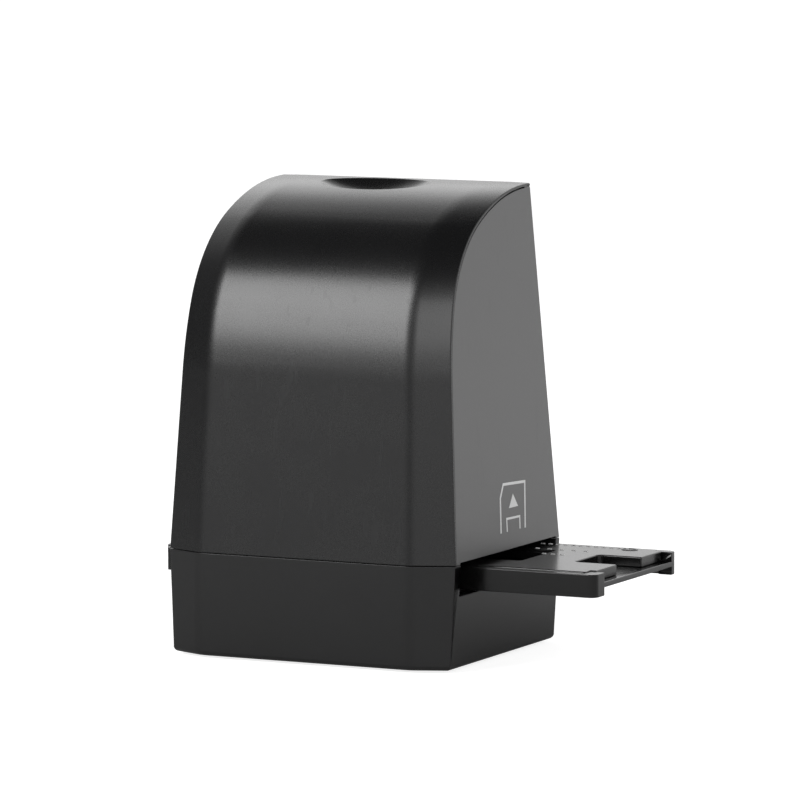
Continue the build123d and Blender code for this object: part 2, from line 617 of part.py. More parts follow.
def holder_tray():
    """Lower half: floor with windows between two rails, and posts at the trailing corners."""
    block = extrude(Pos(0, 0, HOLDER_Z) * holder_outline(), HOLDER_THICKNESS)
    inner = (HOLDER_FRONT + HOLDER_RAIL, HOLDER_REAR - HOLDER_RAIL)
    post_start = HOLDER_TRAIL - HOLDER_POST
    tray = block - box((-FAR, FAR), inner, (FILM_Z, FAR)) - box((-FAR, FAR), inner, (0, FLOOR_Z))
    for span in post_spans(0):
        tray += box((post_start, FAR), span, (HOLDER_Z, HOLDER_TOP)) & block
    tray -= picture_windows(HOLDER_Z, HOLDER_TOP)
    film = FILM_WIDTH / 2
    tray -= box((-FAR, NOTCH_START), (OPTICAL_Y - film, OPTICAL_Y + film), (FILM_Z - FILM_CHANNEL, FILM_Z))
    for x in frame_middles():
        tray -= detent_notch(x + DETENT_X)
    for x in hinge_pin_starts():
        tray -= hinge_pin(x, PIN_FIT)
    return tray


def detent_notch(x):
    """Round-bottomed notch across the front rail's underside."""
    radius = DETENT_WIDTH / 2
    return Pos(x, DETENT_Y, HOLDER_Z - radius + DETENT_DEPTH) * Rot(90, 0, 0) * Cylinder(
        radius, 2 * HOLDER_RAIL)


def holder_lid():
    """Upper half: a flat lid let in between the rails, notched for a finger at its end."""
    front = HOLDER_FRONT + HOLDER_RAIL + LID_GAP
    rear = HOLDER_REAR - HOLDER_RAIL - LID_GAP
    low, top = FILM_Z, HOLDER_TOP + LID_RISE
    start = -HOLDER_LEAD + LID_GAP
    lid = rounded_plate((start, LID_END), (front, rear), (low, top), LID_ROUND)
    for span in post_spans(LID_GAP):
        lid -= box((HOLDER_TRAIL - HOLDER_POST - LID_GAP, FAR), span, (0, FAR))
    middle, half = OPTICAL_Y + NOTCH_BACK, NOTCH_WIDTH / 2
    lid -= rounded_plate((NOTCH_START, FAR), (middle - half, middle + half), (0, FAR), NOTCH_ROUND)
    lid -= picture_windows(0, FAR)
    lid -= picture_windows(top - LID_WINDOW_STEP, FAR, LID_WINDOW_FLARE)
    for x in hinge_pin_starts():
        lid -= hinge_pin(x, PIN_FIT)
    return lid


def hinge_pin_starts():
    """Left ends of the two hinge pins."""
    inset = 2 * HOLDER_POST
    return (-HOLDER_LEAD + inset, LID_END - inset - HINGE_PIN_LENGTH)


def hinge_pin(x, extra=0.0):
    """Pin across the gap between the rear rail and the lid's rear edge."""
    middle = HOLDER_REAR - HOLDER_RAIL - LID_GAP / 2
    z = (FILM_Z + HOLDER_TOP) / 2
    across = HINGE_PIN_LENGTH / 2 + extra
    return Pos(x + HINGE_PIN_LENGTH / 2, middle, z) * Rot(0, 90, 0) * Cylinder(
        HINGE_PIN_RADIUS + extra, 2 * across)


def hinge_pins():
    return [hinge_pin(x) for x in hinge_pin_starts()]


# ---- gate and guides -------------------------------------------------------------------------
def aperture(z_low, z_high, margin=0.0):
    half_length, half_width = APERTURE_HALF_LENGTH + margin, APERTURE_HALF_WIDTH + margin
    return box((-half_length, half_length), (OPTICAL_Y - half_width, OPTICAL_Y + half_width),
               (z_low, z_high))


def gate_plate():
    """Lower guide with the light aperture, an upright front guide and the detent's pocket."""
    x_span = (-GATE_HALF_LENGTH, GATE_HALF_LENGTH)
    plate = box(x_span, (GUIDE_FRONT, GUIDE_REAR), (GATE_Z, GATE_TOP))
    plate += box(x_span, (GUIDE_FRONT, GUIDE_FRONT + GUIDE_WIDTH), (GATE_TOP, FILM_Z))
    plate -= aperture(GATE_Z, GATE_TOP)
    plate -= box((DETENT_X - DETENT_WIDTH, DETENT_X + DETENT_WIDTH),
                 (DETENT_Y - DETENT_STRIP, DETENT_Y + DETENT_STRIP), (0, GATE_TOP))
    for x in (-GATE_SCREW_X, GATE_SCREW_X):
        plate += rod(x, GATE_SCREW_Y, GATE_Z, GATE_TOP, BOSS_RADIUS)
        plate += box((x - BOSS_RADIUS, x + BOSS_RADIUS), (GATE_SCREW_Y, GUIDE_FRONT), (GATE_Z, GATE_TOP))
        plate -= clearance_hole(x, GATE_SCREW_Y, GATE_Z, GATE_TOP)
        plate -= rod(x, GATE_SCREW_Y, GATE_TOP, FAR, SCREW_HEAD + FIT)
    return plate


def gate_screws():
    fixed = Pos(0, GATE_SCREW_Y, GATE_TOP) * screw(GATE_THICKNESS + REAR_SCREW_BITE)
    return [Pos(x, 0, 0) * fixed for x in (-GATE_SCREW_X, GATE_SCREW_X)]


def detent_spring():
    """Leaf under the front rail whose round tip stands in the middle picture's notch."""
    y_span = (DETENT_Y - DETENT_STRIP / 2, DETENT_Y + DETENT_STRIP / 2)
    start, low = DETENT_X - DETENT_REACH, GATE_Z - DETENT_LEAF
    radius = DETENT_WIDTH / 2 - SLIDE_FIT
    leaf = box((start, DETENT_X + radius), y_span, (low, GATE_Z))
    tip = Pos(DETENT_X, DETENT_Y, HOLDER_Z - radius + DETENT_DEPTH - SLIDE_FIT)
    bump = tip * Rot(90, 0, 0) * Cylinder(radius, DETENT_STRIP)
    bump += box((DETENT_X - radius, DETENT_X + radius), y_span, (low, tip.position.Z))
    return leaf + (bump & slab(low, FAR))


def top_guide():
    """Upper guide: a plate with two ribs that keep the holder down, over the same aperture."""
    x_span = (-TOP_GUIDE_HALF_LENGTH, TOP_GUIDE_HALF_LENGTH)
    front, rear = HOLDER_FRONT - TOP_GUIDE_FRONT, REAR_Y - WALL - FIT - TONGUE_WALL / 2
    plate = box(x_span, (front, rear), (TONGUE_TOP, TOP_GUIDE_TOP))
    low = HOLDER_TOP + SLIDE_FIT
    for y in (HOLDER_FRONT, HOLDER_REAR - HOLDER_RAIL + FIT):
        plate += box(x_span, (y, y + TOP_GUIDE_RIB), (low, TONGUE_TOP))
    plate -= aperture(0, FAR)
    for x in (-COVER_SCREW_X, COVER_SCREW_X):
        plate -= rod(x, COVER_SCREW_Y, TONGUE_TOP, TOP_GUIDE_TOP, BOSS_RADIUS + FIT)
    for x in (-POST_X, POST_X):
        plate -= clearance_hole(x, POST_FRONT_Y, TONGUE_TOP, TOP_GUIDE_TOP)
    for x, y in frame_screw_places():
        plate -= pilot(x, y, TONGUE_TOP, TOP_GUIDE_TOP)
    return plate


def guide_screws():
    place = Pos(0, POST_FRONT_Y, TOP_GUIDE_TOP)
    return [Pos(x, 0, 0) * place * screw(TONGUE_TOP - GATE_TOP) for x in (-POST_X, POST_X)]


# ---- backlight -------------------------------------------------------------------------------
def inside_of(span, wall):
    return (span[0] + wall, span[1] - wall)


def light_box():
    """White reflector box between the lamp board and the diffuser."""
    case = box(LIGHT_X, LIGHT_Y, (LED_Z, DIFFUSER_Z))
    return case - box(inside_of(LIGHT_X, LIGHT_BOX_WALL), inside_of(LIGHT_Y, LIGHT_BOX_WALL), (0, FAR))


def diffuser_plate():
    return rounded_plate(LIGHT_X, LIGHT_Y, (DIFFUSER_Z, GATE_Z), FRAME_ROUND)


def led_board():
    """Lamp board on four short legs, longer than the light box in front for the lead."""
    board = box(LIGHT_X, (LIGHT_Y[0] - LED_PITCH / 2, LIGHT_Y[1]), (LIGHT_BOARD_Z, LED_Z))
    for x in (LIGHT_X[0] + LED_SIZE, LIGHT_X[1] - LED_SIZE):
        for y in (LIGHT_Y[0], LIGHT_Y[1] - LED_SIZE):
            board += rod(x, y, PLATE_TOP, LIGHT_BOARD_Z, SCREW_RADIUS)
    return board


def leds():
    first_x, first_y = -LED_PITCH * (LED_COLUMNS - 1) / 2, OPTICAL_Y - LED_PITCH * (LED_ROWS - 1) / 2
    half = LED_SIZE / 2
    return [box((x - half, x + half), (y - half, y + half), (LED_Z, LED_Z + LED_HEIGHT))
            for x in [first_x + LED_PITCH * column for column in range(LED_COLUMNS)]
            for y in [first_y + LED_PITCH * row for row in range(LED_ROWS)]]


# ---- camera tower ----------------------------------------------------------------------------
def frame_screw_places():
    x = FRAME_HALF_WIDTH + FRAME_WALL + SCREW_HEAD + FIT
    return [(side * x, y) for side in (-1, 1) for y in (FRAME_FRONT + SCREW_HEAD, FRAME_REAR - SCREW_HEAD)]


def optics_frame():
    """Open tower on the upper guide with shelves for the sensor board and the button board."""
    outer = FRAME_HALF_WIDTH + FRAME_WALL
    y_span = (FRAME_FRONT, FRAME_REAR)
    foot = outer + 2 * SCREW_HEAD + 2 * FIT
    tower = box((-foot, foot), y_span, (TOP_GUIDE_TOP, FLANGE_TOP)) - aperture(0, FAR, TUNNEL_WALL)
    for side in (-1, 1):
        span = sorted((side * FRAME_HALF_WIDTH, side * outer))
        tower += box(span, y_span, (TOP_GUIDE_TOP, BUTTON_BOARD_Z))
    back = (FRAME_REAR - FRAME_WALL, FRAME_REAR)
    inner = (-FRAME_HALF_WIDTH, FRAME_HALF_WIDTH)
    tower += box(inner, back, (TOP_GUIDE_TOP, BUTTON_BOARD_Z))
    for top in (SHELF_Z + FRAME_WALL, BUTTON_BOARD_Z):
        tower += box(inner, y_span, (top - FRAME_WALL, top))
    half = MOUNT_SIZE / 2 + FIT
    tower -= box((-half, half), (OPTICAL_Y - half, OPTICAL_Y + half), (SHELF_Z, SHELF_Z + FRAME_WALL))
    for x, y in sensor_screw_places():
        tower += rod(x, y, SHELF_Z, SENSOR_BOARD_Z, SENSOR_BOSS)
        tower -= pilot(x, y, SHELF_Z - FRAME_WALL, SENSOR_BOARD_Z)
    for y, z in board_screw_places():
        stand = Pos(0, y, z) * Rot(0, 90, 0)
        middle = (outer + MAIN_BOARD_X) / 2
        tower += Pos(middle, 0, 0) * stand * Cylinder(SENSOR_BOSS, MAIN_BOARD_X - outer)
        tower -= Pos(middle, 0, 0) * stand * Cylinder(SCREW_RADIUS + PILOT_FIT, 4 * FRAME_WALL)
    for place in rear_screw_places():
        boss = place * Pos(0, 0, -WALL - REAR_REACH / 2) * Cylinder(BOSS_RADIUS, REAR_REACH)
        tower += boss & box((-FAR, FAR), (FRAME_REAR - FRAME_WALL, FAR), (0, FAR))
        tower -= place * Pos(0, 0, -WALL - REAR_REACH / 2) * Cylinder(SCREW_RADIUS + PILOT_FIT, REAR_REACH)
    ribbon = RIBBON_WIDTH / 2 + FIT
    tower -= box((FRAME_HALF_WIDTH, outer), (OPTICAL_Y - ribbon, OPTICAL_Y + ribbon),
                 (SENSOR_BOARD_Z, SENSOR_BOARD_Z + RIBBON_WIDTH))
    for x, y in frame_screw_places():
        tower -= clearance_hole(x, y, TOP_GUIDE_TOP, FLANGE_TOP)
    return tower


def frame_screws():
    return [Pos(x, y, FLANGE_TOP) * screw(FRAME_WALL + TOP_GUIDE) for x, y in frame_screw_places()]


def sensor_screw_places():
    reach = SENSOR_BOARD_SIZE / 2 - SENSOR_BOSS
    return [(x, OPTICAL_Y + y) for x in (-reach, reach) for y in (-reach, reach)]


def sensor_screws():
    top = SENSOR_BOARD_Z + BOARD
    return [Pos(x, y, top) * screw(BOARD + BOARD_STAND + FRAME_WALL) for x, y in sensor_screw_places()]


def light_tunnel():
    """Tapered black tube that shades the view from the film to the lens."""
    def frustum(extra):
        low = Pos(0, OPTICAL_Y, TOP_GUIDE_TOP) * Rectangle(
            2 * (APERTURE_HALF_LENGTH + extra), 2 * (APERTURE_HALF_WIDTH + extra))
        high = Pos(0, OPTICAL_Y, TOP_GUIDE_TOP + TUNNEL_LIFT) * Rectangle(
            TUNNEL_MOUTH + 2 * extra, TUNNEL_MOUTH + 2 * extra)
        return loft([low.face(), high.face()])
    return frustum(TUNNEL_WALL - FIT) - frustum(0)


def lens_barrel():
    top = BARREL_Z + BARREL_LENGTH
    barrel = rod(0, OPTICAL_Y, BARREL_Z, top, BARREL_RADIUS)
    return barrel - rod(0, OPTICAL_Y, BARREL_Z, top, BARREL_BORE)


def lens_places():
    pitch = BARREL_LENGTH / 4
    return [BARREL_Z + pitch * number for number in (1, 2, 3)]


def lenses():
    """Three biconvex lenses seated in the barrel."""
    ball = (BARREL_BORE ** 2 + (LENS_THICKNESS / 2) ** 2) / LENS_THICKNESS
    offset_z = ball - LENS_THICKNESS / 2
    lens = (Pos(0, 0, offset_z) * Sphere(ball)) & (Pos(0, 0, -offset_z) * Sphere(ball))
    return [Pos(0, OPTICAL_Y, z) * lens for z in lens_places()]


def lens_mount():
    """Square block under the sensor board that the barrel is screwed into."""
    half = MOUNT_SIZE / 2
    low = SENSOR_BOARD_Z - MOUNT_HEIGHT
    block = rounded_plate((-half, half), (OPTICAL_Y - half, OPTICAL_Y + half),
                          (low, SENSOR_BOARD_Z), 2 * FRAME_ROUND)
    return block - rod(0, OPTICAL_Y, low, SENSOR_BOARD_Z, BARREL_RADIUS + PIN_FIT)


def ir_filter():
    low = BARREL_Z + BARREL_LENGTH
    return rod(0, OPTICAL_Y, low, low + FILTER, BARREL_RADIUS - FIT)


def image_sensor():
    half = SENSOR_SIZE / 2
    return box((-half, half), (OPTICAL_Y - half, OPTICAL_Y + half),
               (SENSOR_BOARD_Z - SENSOR_THICKNESS, SENSOR_BOARD_Z))


def sensor_board():
    half = SENSOR_BOARD_SIZE / 2
    board = rounded_plate((-half, half), (OPTICAL_Y - half, OPTICAL_Y + half),
                          (SENSOR_BOARD_Z, SENSOR_BOARD_Z + BOARD), SCREW_RADIUS)
    for x, y in sensor_screw_places():
        board -= clearance_hole(x, y, 0, FAR)
    return board


# ---- main board ------------------------------------------------------------------------------
def board_screw_places():
    margin = SCREW_HEAD + SCREW_RADIUS
    return [(y, z) for y in (BOARD_FRONT + margin, FRAME_REAR - margin)
            for z in (BOARD_Z + margin, BOARD_TOP - margin)]


def main_board():
    board = box((MAIN_BOARD_X, BOARD_OUT), (BOARD_FRONT, MAIN_BOARD_REAR), (BOARD_Z, BOARD_TOP))
    for y, z in board_screw_places():
        board -= Pos(BOARD_OUT, y, z) * Rot(0, 90, 0) * Cylinder(SCREW_RADIUS + SCREW_CLEARANCE, 4 * BOARD)
    return board


def board_screws():
    turned = Rot(0, 90, 0) * screw(BOARD + MAIN_BOARD_X - FRAME_HALF_WIDTH)
    return [Pos(BOARD_OUT, y, z) * turned for y, z in board_screw_places()]


def board_chips():
    """Processor, memory and two regulators on the outer face."""
    sizes = ((10.0, 10.0, 1.4, 6.0, 18.0), (8.0, 12.0, 1.1, 18.0, 18.0), (4.0, 6.0, 1.6, 28.0, 20.0),
             (4.0, 4.0, 1.6, 28.0, 28.0))
    return [box((BOARD_OUT, BOARD_OUT + high), (y - wide / 2, y + wide / 2),
                (BOARD_Z + lift - tall / 2, BOARD_Z + lift + tall / 2))
            for wide, tall, high, y, lift in sizes]


def board_connectors():
    """Sockets for the ribbon, the button's lead and the lamp's lead."""
    low = CONNECTOR_TOP - CONNECTOR_HEIGHT
    return [box((BOARD_OUT, BOARD_OUT + CONNECTOR_DEPTH), (y - width / 2, y + width / 2),
                (low, CONNECTOR_TOP))
            for y, width in ((OPTICAL_Y, CONNECTOR_WIDTH), (BUTTON_LEAD_Y, CONNECTOR_HEIGHT),
                             (LAMP_LEAD_Y, CONNECTOR_HEIGHT))]


def usb_socket():
    """Shell with its contact tongue, opening through the rear cover."""
    rear = REAR_Y - (USB_Z - PART_Z) * tan(radians(REAR_LEAN)) - SEAM
    x_span = (USB_X - USB_HEIGHT / 2, USB_X + USB_HEIGHT / 2)
    z_span = (USB_Z - USB_WIDTH / 2, USB_Z + USB_WIDTH / 2)
    case = box(x_span, (rear - USB_DEPTH, rear), z_span)
    case -= box(inside_of(x_span, USB_WALL), (rear - USB_DEPTH + 2 * USB_WALL, rear),
                inside_of(z_span, USB_WALL))
    tongue = box(inside_of(x_span, USB_HEIGHT / 2 - USB_WALL), (rear - USB_DEPTH, rear - 2 * USB_WALL),
                 inside_of(z_span, 3 * USB_WALL))
    return case + tongue


def ribbon_cable():
    """Flat flex from the sensor board's face, round one bend, down to its socket."""
    height = SENSOR_BOARD_Z + BOARD + RIBBON_THICKNESS
    start = SENSOR_BOARD_SIZE / 2 - 3 * SENSOR_BOSS
    path = FilletPolyline((start, height), (CONNECTOR_X, height), (CONNECTOR_X, CONNECTOR_TOP + FIT),
                          radius=RIBBON_WIDTH / 2)
    strip = trace(path, RIBBON_THICKNESS)
    return extrude(Plane.XZ.offset(-OPTICAL_Y - RIBBON_WIDTH / 2) * strip, RIBBON_WIDTH)


def lead(points, radius):
    """Round lead along straight runs joined by arcs."""
    path = FilletPolyline(*points, radius=radius)
    return sweep(Plane(path @ 0, z_dir=path % 0) * Circle(LEAD_RADIUS), path=path)


def lamp_lead():
    low, high = LED_Z + LEAD_RADIUS + FIT, BOARD_Z + MAIN_BOARD_HEIGHT / 4
    front = COVER_SCREW_Y
    return lead([(LAMP_LEAD_X, LIGHT_Y[0] - LED_PITCH / 4, low), (LAMP_LEAD_X, front, low),
                 (LAMP_LEAD_X, front, high), (CONNECTOR_X, front, high), (CONNECTOR_X, LAMP_LEAD_Y, high),
                 (CONNECTOR_X, LAMP_LEAD_Y, CONNECTOR_TOP - CONNECTOR_HEIGHT)], 5 * LEAD_RADIUS)


def button_lead():
    start = DISH_X + BUTTON_BOARD_SIZE / 2 - LEAD_RADIUS
    height = SWITCH_Z + LEAD_RADIUS + FIT
    return lead([(start, BUTTON_LEAD_Y, height), (CONNECTOR_X, BUTTON_LEAD_Y, height),
                 (CONNECTOR_X, BUTTON_LEAD_Y, CONNECTOR_TOP)], 5 * LEAD_RADIUS)


def export_all():
    left, right = side_panels()
    parts = {
        "base_housing": base_housing(), "bottom_plate": bottom_plate(), "anti_slip_pad": anti_slip_pad(),
        "bottom_screws": bottom_screws(), "front_cover": front_cover(), "cover_screws": cover_screws(),
        "side_panel_left": left, "side_panel_right": right, "rear_cover": rear_cover(),
        "rear_screws": rear_screws(), "button_cap": button_cap(), "button_spring": button_spring(),
        "switch_plunger": switch_plunger(), "tact_switch": tact_switch(), "button_board": button_board(),
        "holder_tray": holder_tray(), "holder_lid": holder_lid(), "holder_hinge_pins": hinge_pins(),
        "gate_plate": gate_plate(), "gate_screws": gate_screws(), "detent_spring": detent_spring(),
        "top_guide": top_guide(), "guide_screws": guide_screws(), "light_box": light_box(),
        "diffuser_plate": diffuser_plate(), "led_board": led_board(), "leds": leds(),
        "optics_frame": optics_frame(), "frame_screws": frame_screws(), "light_tunnel": light_tunnel(),
        "lens_barrel": lens_barrel(), "lenses": lenses(), "lens_mount": lens_mount(),
        "ir_filter": ir_filter(), "image_sensor": image_sensor(), "sensor_board": sensor_board(),
        "sensor_screws": sensor_screws(), "main_board": main_board(), "board_screws": board_screws(),
        "board_chips": board_chips(), "board_connectors": board_connectors(),
        "usb_socket": usb_socket(), "ribbon_cable": ribbon_cable(), "lamp_lead": lamp_lead(),
        "button_lead": button_lead(),
    }
    os.makedirs("parts", exist_ok=True)
    for name, shape in parts.items():
        if isinstance(shape, list):
            shape = Compound(children=[Compound(piece.solids()) for piece in shape])
        export_step(shape, f"parts/{name}.step")


export_all()
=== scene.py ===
"""Looks of a desktop film scanner: rounded shells, printed mark, small fittings, finishes and studio."""
import json
import math

import bmesh
import bpy
from bpy.props import FloatProperty, FloatVectorProperty, IntProperty, PointerProperty
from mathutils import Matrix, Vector
from mathutils.bvhtree import BVHTree

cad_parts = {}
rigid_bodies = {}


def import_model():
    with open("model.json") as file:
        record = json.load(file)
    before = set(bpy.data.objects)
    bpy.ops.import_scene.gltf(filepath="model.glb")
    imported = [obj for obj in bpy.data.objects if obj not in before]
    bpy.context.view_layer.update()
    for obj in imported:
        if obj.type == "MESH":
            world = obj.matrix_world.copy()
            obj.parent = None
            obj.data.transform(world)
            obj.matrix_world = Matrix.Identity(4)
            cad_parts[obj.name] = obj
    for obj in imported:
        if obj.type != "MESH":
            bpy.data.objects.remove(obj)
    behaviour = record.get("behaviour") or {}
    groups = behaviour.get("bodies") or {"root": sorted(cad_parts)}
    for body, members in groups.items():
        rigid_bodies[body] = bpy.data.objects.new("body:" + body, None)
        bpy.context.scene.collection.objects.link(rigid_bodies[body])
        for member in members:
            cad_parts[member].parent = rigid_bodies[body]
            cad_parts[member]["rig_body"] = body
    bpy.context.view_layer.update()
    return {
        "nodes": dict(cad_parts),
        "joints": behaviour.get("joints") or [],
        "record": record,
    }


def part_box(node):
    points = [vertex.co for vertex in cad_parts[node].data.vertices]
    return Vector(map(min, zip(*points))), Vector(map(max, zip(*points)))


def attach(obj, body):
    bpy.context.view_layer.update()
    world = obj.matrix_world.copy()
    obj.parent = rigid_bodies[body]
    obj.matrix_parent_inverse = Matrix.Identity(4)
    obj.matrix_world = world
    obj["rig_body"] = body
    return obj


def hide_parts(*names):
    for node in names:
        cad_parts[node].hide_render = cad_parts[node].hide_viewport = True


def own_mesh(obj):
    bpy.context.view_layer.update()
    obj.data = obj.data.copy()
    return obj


bl_info = {
    "name": "Film scanner looks",
    "version": (1, 0, 0),
    "blender": (4, 5, 0),
    "location": "3D View > Sidebar > Film scanner",
    "description": "Finishes and fittings of a desktop film scanner round its fixed frame",
    "category": "Object",
}

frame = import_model()
MM = 0.001

# Places on the scanner, in millimetres
PART_Z = 32.8              # parting line between base and upper housing
PANEL_HALF = 48.85         # side panel's face at the parting line
PANEL_TAPER = 6.0 / 112.0  # inwards for each millimetre up
DISH = (-4.0, 18.0, 18.5, 10.75)  # dish's middle in x and y, and its half sizes there
DISH_REACH = 1.3           # squared share of that ellipse whose edges stay crisp
ROOF_LOW = 138.0           # nothing above it but the roof
ROOF_SLOPE = math.tan(math.radians(2.0))
LIP_END = (31.46, 145.09)  # roof's rear corner, in y and z, before its rounding
LIP_SPAN = (41.6, 42.84)   # open seam under the cover's lip, from the middle out
LID_TOP = 31.75            # holder's lid
MARK_RISE = 0.16           # raised marks over the lid
BOARD_FACE = 33.6          # main board's outer face
LEG_FOOT = (0.34, 0.78)    # a chip leg's height over the board and its reach
PIN = (0.3, 0.4, 0.9)      # a connector's pin
PLUGS = ((7.0, 10), (20.0, 3), (-7.0, 3))  # each connector's middle in y, and its pins
# Each chip's middle in y and z, and its sizes there
CHIPS = ((6.0, 60.8, 10.0, 10.0), (18.0, 60.8, 8.0, 12.0), (28.0, 62.8, 4.0, 6.0), (28.0, 70.8, 4.0, 4.0))

# Loading mark on the right side panel, as y and z in millimetres
MARK_HOLDER = ((-1.3, 39.0), (-0.7, 49.8), (1.8, 53.8), (17.5, 53.1), (16.3, 38.8))
MARK_SLOT = ((3.2, 39.0), (3.2, 43.0), (12.7, 42.8), (12.5, 39.0))
MARK_ARROW = ((5.2, 46.1), (11.8, 46.1), (8.5, 50.3))
INK = (-0.02, 0.03)        # ink's lower and upper side over the panel

# Studio, in metres. Angles run from the front towards the right.
CAMERA_PLACE = (0.8168, -1.6453, 0.2768)
CAMERA_TURN = math.radians(26.03)
CAMERA_DIP = math.radians(6.18)
CAMERA_LENS = 267.6        # millimetres, on a 36 mm sensor
FLOOR_HALF = 12.0
FLOOR_GREY = (0.5, 0.5, 0.5, 1)
FLOOR_SEEN = 0.82          # added for the camera, so that the floor is white
FLOOR_MIRRORED = 0.75      # added behind the scanner for what mirrors the floor
AIM = Vector((0, 0, 0.09))  # what the softboxes point at
LAMP_AWAY = 1.2
SOFTBOX = (0.66, 0.7)
REAR_SOFTBOX = (1.3, 0.42)
REAR_ANGLES = (math.radians(200), math.radians(27))
FILL = (0.42, 0.5)
FILL_ANGLES = (math.radians(22), math.radians(24))


# ---- sizes and colours -----------------------------------------------------------------------
def length(name, description, default):
    """Property for a length whose default is given in millimetres."""
    return FloatProperty(name=name, description=description, default=default * MM, unit="LENGTH",
                         min=0.0, precision=6)


def colour(name, description, *default):
    """Property for a colour."""
    return FloatVectorProperty(name=name, description=description, default=default, size=3,
                               subtype="COLOR", min=0.0, max=1.0)


def angle(name, description, default):
    """Property for an angle whose default is given in degrees."""
    return FloatProperty(name=name, description=description, default=math.radians(default),
                         subtype="ANGLE")


def level(name, description, default):
    """Property for a lamp's power or a wall's brightness."""
    return FloatProperty(name=name, description=description, default=default, min=0.0)


class ScannerHousingLooks(bpy.types.PropertyGroup):
    """Sizes and colours of the covers, the base and the printed mark."""
    edge: length("Edge rounding", "Radius along the housing's outer edges", 0.35)
    cover: colour("Cover", "Plastic of the arched front cover", 0.0055, 0.0055, 0.0058)
    base: colour("Base", "Plastic of the base and the rear cover", 0.0065, 0.0065, 0.0067)
    # Side panels' colour: partly the panels' own dark grey, partly painted light, lighter than the cover so
    # the right side looks lit
    panel: colour("Side panels", "Plastic of the two side panels", 0.05, 0.05, 0.0505)
    grain: length("Grain", "Size of the moulded surface's grain", 0.32)
    ink: colour("Printed mark", "Ink of the mark on the right side panel", 0.72, 0.72, 0.72)
    line: length("Mark's line", "Width of the mark's lines", 0.85)


class ScannerHolderLooks(bpy.types.PropertyGroup):
    """Sizes and colour of the film holder."""
    edge: length("Edge rounding", "Radius along the film holder's edges", 0.45)
    plastic: colour("Holder", "Glossy plastic of the film holder", 0.0035, 0.0035, 0.0035)
    ticks: IntProperty(name="Ticks", description="Raised ticks along the lid's rear edge", default=12,
                       min=1, max=40)
    tick: length("Tick", "Length of one tick", 1.3)
    ring: length("Ring", "Outer radius of the raised ring by the rear post", 2.7)


class ScannerInsideLooks(bpy.types.PropertyGroup):
    """Sizes and colour of what is on the circuit boards."""
    board: colour("Circuit boards", "Solder resist", 0.012, 0.12, 0.05)
    leg: length("Chip leg", "Width of a chip's leg", 0.28)
    pitch: length("Leg pitch", "Distance from one leg to the next", 0.8)


class ScannerStudioLooks(bpy.types.PropertyGroup):
    """Levels of the room and the softboxes."""
    azimuth: angle("Softbox azimuth", "From the front towards the right", -32)
    elevation: angle("Softbox height", "Angle above the floor", 29)
    power: level("Softbox", "Power of the softbox in watts", 10.8)
    rear: level("Rear softbox", "Power of the softbox behind in watts", 1.6)
    fill: level("Fill", "Power of the small softbox on the right in watts", 1.6)
    front: level("Front wall", "Brightness of the wall in front", 0.8)
    right: level("Right wall", "Brightness added on the right", 0.4)
    back: level("Rear wall", "Brightness added behind", 0.5)
    zenith: level("Ceiling", "Brightness of the room's ceiling", 0.03)


# ---- node trees ------------------------------------------------------------------------------
class Field:
    """A node's output that takes part in Python expressions."""

    def __init__(self, maker, socket):
        self.maker = maker
        self.socket = socket

    def maths(self, operation, *terms):
        return self.maker.node("ShaderNodeMath", {"operation": operation}, *terms)

    def __add__(self, other):
        return self.maths("ADD", self, other)

    def __radd__(self, other):
        return self.maths("ADD", other, self)

    def __sub__(self, other):
        return self.maths("SUBTRACT", self, other)

    def __rsub__(self, other):
        return self.maths("SUBTRACT", other, self)

    def __mul__(self, other):
        return self.maths("MULTIPLY", self, other)

    def __rmul__(self, other):
        return self.maths("MULTIPLY", other, self)

    def __gt__(self, other):
        return self.maths("GREATER_THAN", self, other)

    def __lt__(self, other):
        return self.maths("LESS_THAN", self, other)

    def clamped(self):
        return self.maths("MAXIMUM", self.maths("MINIMUM", self, 1.0), 0.0)

    def rising(self, start, width):
        """From nothing at a start to one, a width further."""
        return ((self - start) * (1.0 / width)).clamped()

    def stripes(self, size, share):
        """One on a share of every step of a size, else nothing."""
        return self.maths("FLOORED_MODULO", self, size) < size * share


